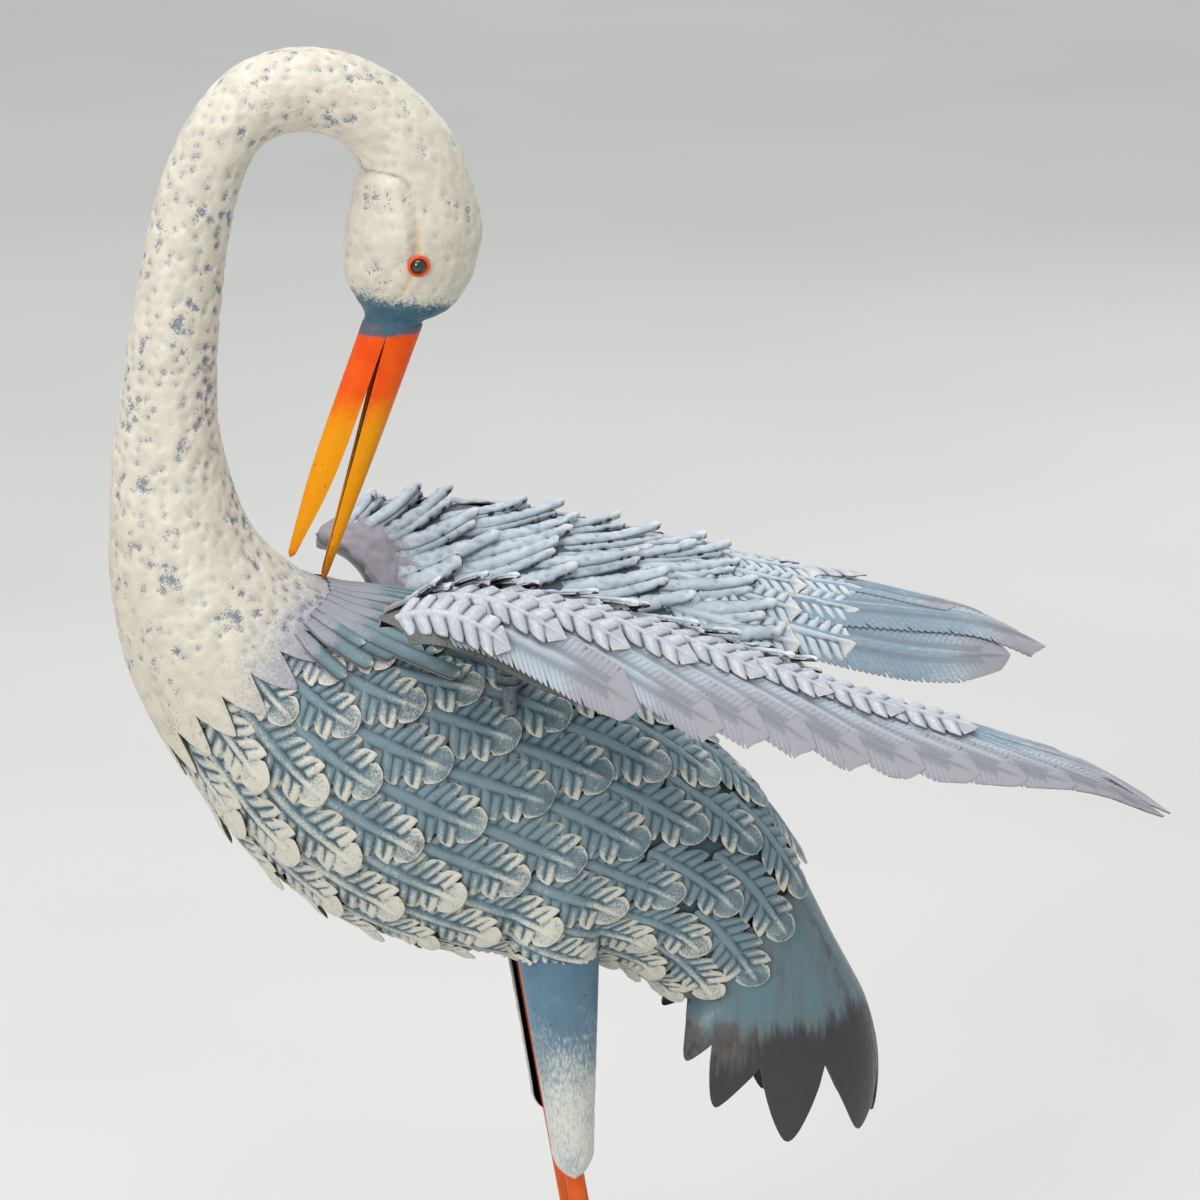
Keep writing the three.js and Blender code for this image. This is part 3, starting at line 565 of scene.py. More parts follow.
class TemplateRow(GeometryTree):
    """Copies of one template in a row, each with a random tone, ready to be bent into place."""

    SPACING = 0.5

    def __init__(self) -> None:
        """Builds the tree: a line of points, one copy of the template on each."""
        super().__init__("template_row", Count="Int", Spacing="Float", Template="Object", Seed="Int")
        step = self.node("ShaderNodeCombineXYZ", X=self.given("Spacing"))
        line = self.node("GeometryNodeMeshLine", {"mode": "OFFSET"}, Count=self.given("Count"),
                         Offset=step.outputs[0])
        source = self.node("GeometryNodeObjectInfo", {"transform_space": "ORIGINAL"},
                           Object=self.given("Template"), As_Instance=True)
        copies = self.node("GeometryNodeInstanceOnPoints", Points=line.outputs[0],
                           Instance=source.outputs["Geometry"])
        chance = self.node("FunctionNodeRandomValue", {"data_type": "FLOAT"}, Seed=self.given("Seed"))
        value = next(s for s in chance.outputs if s.enabled)
        toned = self.node("GeometryNodeStoreNamedAttribute",
                          {"data_type": "FLOAT", "domain": "INSTANCE"},
                          Geometry=copies.outputs[0], Name=Map.TONE.value, Value=value)
        self.finish(toned.outputs[0])

    def make(self, name: str, template: bpy.types.Object, count: int, seed: int,
             material: bpy.types.Material) -> tuple[bpy.types.Object, Array, Array]:
        """Makes a row of copies.

        Args:
            name: the piece's name.
            template: the object to copy.
            count: how many copies.
            seed: for the tones.
            material: the finish.

        Returns:
            The piece, each point's copy number, and each point's place on its template in
            millimetres.
        """
        piece = add_object(name, bpy.data.meshes.new(name))
        self.apply(piece, Count=count, Spacing=self.SPACING, Template=template, Seed=seed,
                   Material=material)
        settle(piece, material)
        flat = np.empty(len(piece.data.vertices) * 3, np.float32)
        piece.data.vertices.foreach_get("co", flat)
        points = flat.reshape(-1, 3).astype(float)
        copy = np.rint(points[:, 0] / self.SPACING).astype(int)
        points[:, 0] -= copy * self.SPACING
        return piece, copy, points / MM


def bend(piece: bpy.types.Object, points: Array, crease: float = 40.0) -> None:
    """Moves a piece's points to new places in millimetres and keeps its faces outwards.

    Args:
        piece: the object, a plain mesh.
        points: one new place for each point.
        crease: degrees past which an edge is shaded sharp.
    """
    mesh = piece.data
    mesh.vertices.foreach_set("co", (points * MM).astype(np.float32).reshape(-1))
    mesh.update()
    corners = np.empty(len(mesh.polygons) * 4, np.int32)
    if len(mesh.loops) == len(corners):
        mesh.loops.foreach_get("vertex_index", corners)
        quads = MeshData(points, corners.reshape(-1, 4))
        if quads.volume() < 0:
            mesh.flip_normals()
    shade_by_angle(mesh, crease)


@dataclass(frozen=True)
class FeatherTemplate:
    """Flat stamped feather: its tip at the origin, its root along +Y, relief in Z."""

    length: float
    half_width: float
    tip_length: float
    tip_share: float
    tip_power: float
    lobes: int
    notch: float
    deep_notch: float
    deep_every: int
    slant: float
    rib_height: float
    rib_half: float
    lobe_rib: float
    ribs_per_lobe: int
    rib_span: tuple[float, float]
    # Share of a lobe and of its width at each row between two notches.
    lobe_rows: tuple
    sheet: float = 0.8
    # Weight of the painted shade in the valleys between ribs.
    valley: float = 0.42
    droop: float = 0.5
    shoulder: float = 0.85
    shoulder_run: float = 14.0
    first_notch: float = 0.84
    fade: float = 9.0
    tip_rows: tuple = (0.015, 0.08, 0.2, 0.38, 0.6, 0.82)
    columns: tuple = (0, 0.09, 0.19, 0.33, 0.52, 0.73, 0.9, 1.0)

    def rows(self) -> Array:
        """Spine place of each row, its share of its lobe, and its width share.

        Returns:
            The three lists as rows of one array.
        """
        rows = []
        for f in self.tip_rows:
            round_share = (1 - (1 - min(f * 1.3, 1.0)) ** self.tip_power) ** (1 / self.tip_power)
            rows.append((f * self.tip_length, 0.0, self.tip_share * round_share))
        pitch = (self.length - self.tip_length) / self.lobes
        for lobe in range(self.lobes + 1):
            start = self.tip_length + lobe * pitch
            body = lerp(self.shoulder, 1.0, float(rise(0.0, self.shoulder_run, lobe * pitch)))
            cut = (1 - (self.notch if lobe % self.deep_every else self.deep_notch)) * body
            rows.append((start, 0.0, cut if lobe else min(cut, self.tip_share * self.first_notch)))
            if lobe < self.lobes:
                rows += [(start + f * pitch, f, share * body) for f, share in self.lobe_rows]
        return np.array(rows).T

    def build(self, name: str) -> bpy.types.Object:
        """Makes the template as an object that is removed after its copies are made.

        Args:
            name: the template's name.

        Returns:
            The flat feather.
        """
        spine, phase, width = self.rows()
        share = np.concatenate([-np.array(self.columns[:0:-1]), np.array(self.columns)])
        across = share[None, :] * (width * self.half_width)[:, None]
        lean = self.slant * rise(self.tip_length * 0.3, self.tip_length * 1.2, spine)
        place = spine[:, None] - lean[:, None] * np.abs(across)
        taper = lerp(0.4, 1.0, rise(0.0, self.length * 0.6, spine))[:, None]
        rib = np.clip(1 - (across / (self.rib_half * taper)) ** 2, 0, 1) ** 0.8
        rib = rib * rise(self.fade * 0.15, self.fade, spine)[:, None]
        low, high = self.rib_span
        window = rise(low, low + 0.16, np.abs(share)) * (1 - rise(high - 0.08, high, np.abs(share)))
        beyond = rise(self.tip_length * 0.9, self.tip_length * 1.05, spine)
        wave = (0.5 - 0.5 * np.cos(2 * np.pi * self.ribs_per_lobe * phase)) * beyond
        lobe = wave[:, None] * window[None, :]
        height = self.rib_height * rib + self.lobe_rib * lobe - self.droop * share[None, :] ** 2
        open_vane = rise(0.0, 0.12, 1 - np.abs(share))[None, :] * beyond[:, None]
        valley = (1 - rib) * (1 - lobe) ** 3 * open_vane
        tip_edge = 1 - rise(0.0, 1.1, spine)
        edge = np.maximum(rise(0.84, 1.0, np.abs(share))[None, :], tip_edge[:, None])
        outer = np.stack([across, place, height + self.sheet], -1)
        inner = np.stack([across, place, height * 0.7], -1)
        # Ridge map: painted highlight on ribs and lobes, painted shade in the valleys between them.
        maps = {Map.RIDGE: np.clip(0.55 + 0.45 * np.maximum(rib * 0.8, lobe) - self.valley * valley, 0, 1),
                Map.EDGE: edge}
        return MeshData.sheet(outer, inner, maps).to_object(name, bpy.data.materials.new(name))


@dataclass(frozen=True)
class FingerTemplate:
    """Flat finger feather: a half-round strip with a round tip, its root along +Y."""

    length: float = 76.0
    half_width: float = 4.7
    dome: float = 3.3
    taper: float = 0.74
    sheet: float = 0.9
    tip_round: float = 5.0
    rows: int = 46
    columns: int = 13

    def build(self, name: str) -> bpy.types.Object:
        """Makes the template as an object that is removed after its copies are made.

        Args:
            name: the template's name.

        Returns:
            The flat finger.
        """
        spine = np.concatenate([self.tip_round * np.linspace(0.02, 1, 8) ** 1.7,
                                np.linspace(self.tip_round + 1.7, self.length, self.rows - 8)])
        share = np.sin(np.linspace(-1, 1, self.columns) * np.pi / 2)[None, :]
        tip_share = np.sqrt(1 - (1 - np.clip(spine / self.tip_round, 0, 1)) ** 2)
        width = self.half_width * tip_share * lerp(self.taper, 1.0, rise(0.0, self.length * 0.5, spine))
        sunk = rise(self.length, self.length - 24.0, spine)
        width = width * lerp(0.55, 1.0, sunk)
        across = share * width[:, None]
        place = spine[:, None] + 0 * across
        profile = np.sqrt(np.clip(1 - (0.98 * share) ** 2, 0, 1))
        height = self.dome * profile * ((0.35 + 0.65 * tip_share) * sunk)[:, None]
        outer = np.stack([across, place, height + self.sheet], -1)
        inner = np.stack([across, place, height * 0.75], -1)
        tip = 1 - rise(0, 12, spine)[:, None]
        # Ridge map: painted highlight on the crown and tip, painted shade down the flanks, so the gaps
        # between fingers read dark.
        maps = {Map.RIDGE: 0.02 + 0.68 * profile ** 1.3 + 0.15 * tip, Map.HAMMER: 1.0,
                Map.EDGE: np.maximum(rise(0.93, 1.0, np.abs(share)), 1 - rise(0, 0.8, spine)[:, None])}
        return MeshData.sheet(outer, inner, maps).to_object(name, bpy.data.materials.new(name), 60.0)


def drop_template(template: bpy.types.Object) -> None:
    """Removes a template with its mesh and its stand-in material.

    Args:
        template: the object to remove.
    """
    mesh = template.data
    material = mesh.materials[0]
    bpy.data.objects.remove(template)
    bpy.data.meshes.remove(mesh)
    bpy.data.materials.remove(material)


def linear(colour: Colour) -> tuple[float, float, float, float]:
    """A paint's colour as Blender's linear values."""
    channels = [c / 255 for c in colour]
    return tuple(c / 12.92 if c <= 0.04045 else ((c + 0.055) / 1.055) ** 2.4 for c in channels) + (1.0,)


class Shade(NodeTree):
    """A material built node by node on object coordinates and paint maps."""

    ROUGH_NOISE = 0.62

    def __init__(self, name: str) -> None:
        """Starts a material with its shader and coordinates.

        Args:
            name: the material's name.
        """
        self.material = bpy.data.materials.new(name)
        self.material.use_nodes = True
        super().__init__(self.material.node_tree)
        self.surface = self.tree.nodes["Principled BSDF"]
        self.place = self.node("ShaderNodeTexCoord").outputs["Object"]

    def noise(self, size: float, detail: float = 3.0, stretch: tuple = (1.0, 1.0, 1.0)) -> Socket:
        """Noise with features of a size in millimetres, drawn out along an axis if asked.

        Args:
            size: the features' size.
            detail: how many finer layers it has.
            stretch: scale along each axis.

        Returns:
            The noise, round 0.5.
        """
        place = self.place
        if stretch != (1.0, 1.0, 1.0):
            place = self.node("ShaderNodeMapping", Vector=place, Scale=stretch).outputs[0]
        return self.node("ShaderNodeTexNoise", Vector=place, Scale=1 / (size * MM), Detail=detail,
                         Roughness=self.ROUGH_NOISE).outputs[0]

    def map(self, paint_map: Map) -> Socket:
        """Value of a paint map."""
        return self.node("ShaderNodeAttribute", {"attribute_name": paint_map.value}).outputs["Fac"]

    def total(self, terms: Sequence[tuple[Socket, float]], offset: float = 0.0) -> Socket:
        """Weighted sum of sockets plus an offset.

        Args:
            terms: each socket and its weight.
            offset: added to the sum.

        Returns:
            The sum.
        """
        value: Socket | float = offset
        for socket, weight in terms:
            value = self.maths("MULTIPLY_ADD", socket, weight, value)
        return value

    def window(self, value: Socket, low: float, high: float, top: float = 1.0,
               bottom: float = 0.0) -> Socket:
        """Smooth step of a value from bottom at low to top at high."""
        return self.node("ShaderNodeMapRange", {"interpolation_type": "SMOOTHSTEP"},
                         value, low, high, bottom, top).outputs[0]

    def mix(self, share: Socket, under: Socket | Colour, over: Socket | Colour) -> Socket:
        """Paints one colour over another by a share.

        Args:
            share: how much of the upper colour shows.
            under: the lower colour.
            over: the upper colour.

        Returns:
            The painted colour.
        """
        node = self.node("ShaderNodeMix", {"data_type": "RGBA"}, share)
        for socket, colour in ((node.inputs[6], under), (node.inputs[7], over)):
            self.feed(socket, colour if isinstance(colour, Socket) else linear(colour))
        return node.outputs[2]

    def bump(self, height: Socket, depth: float) -> None:
        """Fine relief in the shading, its depth in millimetres."""
        node = self.node("ShaderNodeBump", Distance=depth * MM, Height=height)
        self.fill(self.surface, Normal=node.outputs[0])


@dataclass(frozen=True)
class SteelPaint:
    """Hand-painted steel: a base coat, lights with a painted highlight on ridges, painted shade in grooves
    and on inner faces, a stain, a wash, dry brush, specks and a rim.
    """

    name: str
    base: Colour
    # light is lighter paint and, on raised ribs, a painted highlight; shadow is painted shade in grooves,
    # gaps and dimples.
    light: Colour
    shadow: Colour
    brush: Colour
    wash: Colour
    speck: Colour
    # rim: colour along edges; on the coverts and quills a dark rim that is painted shade along their lifted
    # edges.
    rim: Colour
    stain: Colour = (150, 150, 150)
    # under: colour of inner faces, partly the sheet's own dark inside and partly painted shade under
    # feathers and in hollow shells.
    under: Colour = (30, 30, 32)
    patch: float = 18.0
    grain: float = 1.6
    stretch: tuple = (1.0, 1.0, 1.0)
    brush_start: float = 1.05
    brush_region: float = 0.9
    brush_edge: float = 0.45
    brush_ridge: float = 0.7
    wash_noise: float = 0.8
    stain_noise: float = 0.8
    speck_size: float = 1.1
    speck_cluster: float = 9.0
    speck_start: float = 0.62
    speck_soft: float = 0.1
    speck_region: float = 0.0
    speck_pit: float = 0.0
    speck_amount: float = 0.85
    pit_shade: float = 0.0
    cover_soft: float = 0.15
    rim_amount: float = 0.7
    rim_start: float = 0.82
    rim_soft: float = 0.15
    light_weights: tuple = (0.9, 0.9, 0.25)
    light_offset: float = -0.6
    light_range: tuple = (0.15, 0.75)
    groove_range: tuple = (0.42, 0.08)
    pit_range: tuple = (0.3, 1.1)
    under_range: tuple = (0.55, 0.8)
    brush_full: float = 0.92
    roughness: float = 0.5
    gloss: float = 0.4
    bump_depth: float = 0.25

    def cover(self, shade: Shade, paint_map: Map, grain: Socket, patches: Socket, noise: float) -> Socket:
        """Share of a coat laid by a paint map, its border broken up by noise.

        Args:
            shade: the material.
            paint_map: where the coat lies.
            grain: fine noise.
            patches: coarse noise.
            noise: how far the border wanders.

        Returns:
            The coat's share.
        """
        value = shade.total([(shade.map(paint_map), 1.0), (grain, noise), (patches, noise * 0.6)],
                            -0.8 * noise)
        return shade.window(value, 0.5 - self.cover_soft, 0.5 + self.cover_soft)

    def material(self) -> bpy.types.Material:
        """Builds the node tree of this paint.

        Returns:
            The material.
        """
        shade = Shade(self.name)
        patches = shade.noise(self.patch, 4.0)
        grain = shade.noise(self.grain, 3.0, self.stretch)
        ridge, edge, region = (shade.map(m) for m in (Map.RIDGE, Map.EDGE, Map.REGION))
        # Lighter paint by random patches and tones, plus a painted highlight on raised ribs through the
        # ridge map.
        lights = shade.total(list(zip((patches, ridge, shade.map(Map.TONE)), self.light_weights)),
                             self.light_offset)
        colour = shade.mix(shade.window(lights, *self.light_range), self.base, self.light)
        pit = shade.map(Map.PIT)
        if self.pit_shade > 0:
            colour = shade.mix(shade.window(pit, *self.pit_range, self.pit_shade), colour, self.shadow)
        for coat, noise, paint_map in ((self.stain, self.stain_noise, Map.STAIN),
                                       (self.wash, self.wash_noise, Map.WASH)):
            colour = shade.mix(self.cover(shade, paint_map, grain, patches, noise), colour, coat)
        # Painted shade in grooves, gaps and down the flanks where the ridge map is low.
        colour = shade.mix(shade.window(ridge, *self.groove_range), colour, self.shadow)
        brush = shade.total([(region, self.brush_region), (edge, self.brush_edge),
                             (ridge, self.brush_ridge), (grain, 0.9), (patches, 0.5)],
                            -self.brush_start - 0.5 * self.brush_ridge)
        colour = shade.mix(shade.window(brush, 0.0, 0.45, self.brush_full), colour, self.brush)
        fine = shade.noise(self.speck_size, 2.0)
        cluster = shade.noise(self.speck_cluster, 2.0)
        specks = shade.total([(fine, 1.0), (cluster, 0.9), (region, self.speck_region),
                              (pit, self.speck_pit)], -0.45)
        strength = shade.window(specks, self.speck_start, self.speck_start + self.speck_soft,
                                self.speck_amount)
        colour = shade.mix(strength, colour, self.speck)
        # Rim colour along edges, which on the coverts and quills is painted shade.
        rim = shade.window(edge, self.rim_start, self.rim_start + self.rim_soft, self.rim_amount)
        colour = shade.mix(rim, colour, self.rim)
        # Inner faces: partly the sheet's own dark inside, partly painted shade.
        colour = shade.mix(shade.window(shade.map(Map.UNDER), *self.under_range), colour, self.under)
        roughness = shade.window(grain, 0.3, 0.7, self.roughness + 0.1, self.roughness - 0.08)
        shade.fill(shade.surface, Base_Color=colour, Roughness=roughness, Specular_IOR_Level=self.gloss)
        shade.bump(shade.total([(grain, 0.6), (fine, 0.4)]), self.bump_depth)
        return shade.material


@dataclass(frozen=True)
class GlossBead:
    """Black enamel bead of the eyes."""

    name: str = "eye_black"
    base: Colour = (8, 8, 12)
    light: Colour = (26, 28, 38)
    coat_roughness: float = 0.04

    def material(self) -> bpy.types.Material:
        """Builds the bead's glossy coat with faint pits.

        Returns:
            The material.
        """
        shade = Shade(self.name)
        pits = shade.noise(0.8, 2.0)
        colour = shade.mix(shade.window(pits, 0.45, 0.75), self.base, self.light)
        shade.fill(shade.surface, Base_Color=colour, Roughness=shade.window(pits, 0.3, 0.8, 0.2, 0.1),
                   Coat_Weight=1.0, Coat_Roughness=self.coat_roughness)
        return shade.material


CREAM = SteelPaint(
    "cream_enamel", base=(194, 186, 170), light=(219, 212, 196), shadow=(146, 154, 162),
    brush=(212, 188, 142), wash=(60, 96, 112), speck=(84, 100, 124), rim=(52, 52, 56),
    stain=(156, 156, 164), patch=13.0, grain=1.8, brush_start=1.28, brush_region=0.85, brush_edge=0.0,
    brush_ridge=0.0, wash_noise=1.5, stain_noise=0.9, speck_size=1.25, speck_cluster=24.0,
    cover_soft=0.3, speck_start=0.72, speck_soft=0.16, speck_pit=0.29, speck_amount=0.75, pit_shade=0.45,
    rim_amount=0.9, roughness=0.42, bump_depth=0.35)
FEATHER = SteelPaint(
    "feather_blue_grey", base=(80, 102, 110), light=(116, 138, 146), shadow=(40, 54, 62),
    brush=(208, 203, 188), wash=(150, 162, 166), speck=(70, 94, 110), rim=(206, 190, 158),
    stain=(146, 148, 156), patch=16.0, grain=1.2, brush_start=1.07, brush_ridge=0.75, speck_size=0.9,
    speck_cluster=5.0, speck_start=0.66, speck_amount=0.6, rim_amount=0.6, roughness=0.45)
SHELL = SteelPaint(
    "shell_blue_grey", base=(66, 86, 95), light=(84, 106, 115), shadow=(40, 52, 58),
    brush=(120, 130, 134), wash=(60, 74, 80), speck=(20, 24, 28), rim=(30, 34, 38),
    brush_start=1.7, roughness=0.6)
# The maroon inner faces are painted shade in the gaps under the feathers.
WING_PALE = SteelPaint(
    "wing_pale_blue", base=(150, 164, 173), light=(197, 207, 215), shadow=(82, 92, 104),
    brush=(222, 219, 212), wash=(154, 148, 157), speck=(108, 126, 142), rim=(214, 208, 196),
    stain=(168, 166, 173), under=(50, 32, 42), patch=14.0, grain=1.4, brush_start=1.16,
    stain_noise=0.5, speck_start=0.78, speck_pit=0.05, speck_soft=0.2, speck_amount=0.6,
    pit_shade=0.34, rim_amount=0.5, roughness=0.38)
# Near coverts: the wide dark rim is painted shade under their lifted lower edges.
COVERT_LILAC = replace(
    WING_PALE, base=(148, 157, 166), light=(200, 206, 212), shadow=(74, 74, 84), brush=(220, 216, 210),
    stain=(166, 166, 173), rim=(84, 68, 80), rim_amount=0.9, rim_start=0.66)
# Quills: the dark rim is painted shade along their overlapping edges, and their dark inner faces are
# painted shade too.
WING_LILAC = SteelPaint(
    "wing_lilac", base=(158, 168, 177), light=(178, 186, 193), shadow=(106, 110, 120),
    brush=(206, 206, 210), wash=(156, 156, 162), speck=(92, 96, 106), rim=(92, 86, 94),
    stain=(134, 154, 168), under=(62, 50, 56), patch=20.0, grain=1.6, stretch=(0.2, 1.0, 1.0),
    brush_start=1.3, wash_noise=0.5, stain_noise=0.6, speck_start=0.84, speck_amount=0.6,
    rim_amount=0.6, roughness=0.42)
# Dark olive plate paint: painted shade with a greenish painted reflection, where the plate's front strip
# faces down.
WING_PLATE_SHADE = SteelPaint(
    "wing_plate", base=(84, 87, 80), light=(108, 112, 108), shadow=(52, 54, 50),
    brush=(150, 154, 152), wash=(84, 78, 78), speck=(56, 52, 46), rim=(44, 38, 40),
    under=(46, 40, 40), brush_start=1.6, roughness=0.5)
# Its near-black inner faces are partly the plate's own inside, partly painted shade inside the fan.
TAIL = SteelPaint(
    "tail_charcoal", base=(90, 119, 127), light=(106, 137, 147), shadow=(60, 80, 88),
    brush=(104, 96, 90), wash=(56, 56, 60), speck=(40, 44, 48), rim=(24, 24, 26),
    stain=(98, 108, 110), under=(13, 13, 14), patch=30.0, grain=2.6, stretch=(1.0, 1.0, 0.07),
    brush_start=1.16, brush_region=1.0, brush_edge=0.0, brush_ridge=0.0, wash_noise=1.1, stain_noise=0.9,
    cover_soft=0.34, speck_start=0.9, rim_amount=0.5, roughness=0.34)
# Its near-black inner faces are partly the shell's own inside, partly painted shade.
THIGH_PAINT = SteelPaint(
    "thigh_blue_grey", base=(80, 112, 131), light=(92, 126, 145), shadow=(60, 84, 100),
    brush=(212, 211, 200), wash=(146, 152, 160), speck=(44, 62, 76), rim=(180, 188, 188),
    stain=(132, 148, 158), under=(8, 8, 9), patch=22.0, grain=1.3, stretch=(1.0, 1.0, 0.34),
    cover_soft=0.45, brush_start=1.13, brush_region=1.0, brush_edge=0.1, brush_ridge=0.0, stain_noise=0.35,
    speck_size=2.0, speck_cluster=14.0, speck_start=0.76, rim_amount=0.25, roughness=0.42)
# The dark hollow faces of the channels are partly painted shade.
BEAK_PAINT = SteelPaint(
    "beak_orange", base=(226, 70, 0), light=(240, 94, 16), shadow=(170, 54, 4),
    brush=(62, 96, 112), wash=(178, 98, 8), speck=(110, 54, 14), rim=(200, 110, 10),
    stain=(232, 148, 0), under=(40, 12, 6), patch=15.0, grain=1.3, stretch=(1.0, 1.0, 0.5),
    brush_start=1.3, brush_region=1.7, brush_edge=0.0, brush_ridge=0.0, wash_noise=1.0,
    stain_noise=0.5, speck_size=1.1, speck_cluster=7.0, cover_soft=0.4, speck_start=0.72, speck_amount=0.6,
    rim_amount=0.1, roughness=0.42, gloss=0.18)
ROD_PAINT = SteelPaint(
    "leg_orange", base=(206, 76, 2), light=(224, 100, 26), shadow=(140, 50, 10),
    brush=(200, 130, 80), wash=(110, 60, 56), speck=(84, 56, 66), rim=(130, 56, 20),
    patch=12.0, grain=2.0, stretch=(1.0, 1.0, 0.06), brush_start=1.6, wash_noise=1.5,
    speck_start=0.8, roughness=0.42, gloss=0.3)
RING_PAINT = SteelPaint(
    "eye_orange", base=(216, 66, 6), light=(232, 84, 18), shadow=(140, 40, 10),
    brush=(236, 120, 60), wash=(190, 54, 10), speck=(110, 36, 16), rim=(160, 46, 12),
    patch=4.0, grain=0.8, brush_start=1.7, speck_start=0.9, roughness=0.35, gloss=0.3,
    bump_depth=0.1)
STEEL_PAINT = SteelPaint(
    "bolt_steel", base=(62, 76, 84), light=(120, 128, 130), shadow=(34, 40, 44),
    brush=(150, 150, 142), wash=(70, 60, 50), speck=(40, 34, 30), rim=(120, 124, 124),
    patch=4.0, grain=0.9, brush_start=1.4, roughness=0.38, bump_depth=0.12)
BASE_PAINT = SteelPaint(
    "base_blue_grey", base=(70, 84, 94), light=(92, 108, 118), shadow=(44, 54, 60),
    brush=(150, 154, 150), wash=(84, 80, 78), speck=(36, 40, 42), rim=(120, 128, 130),
    patch=40.0, grain=2.4, brush_start=1.45, speck_start=0.74, roughness=0.5)


def hand_over(piece: bpy.types.Object, slot: str, *nodes: str) -> bpy.types.Object:
    """Registers a finished piece: what it rides on and what it stands for.

    Args:
        piece: the finished object.
        slot: name of a material slot; not used.
        nodes: CAD nodes that the piece stands for.

    Returns:
        The piece.
    """
    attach(piece, "root")
    if nodes:
        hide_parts(*nodes)
    LOG.info("%s: %d faces, stands for %s", piece.name, len(piece.data.polygons), ", ".join(nodes) or "-")
    return piece


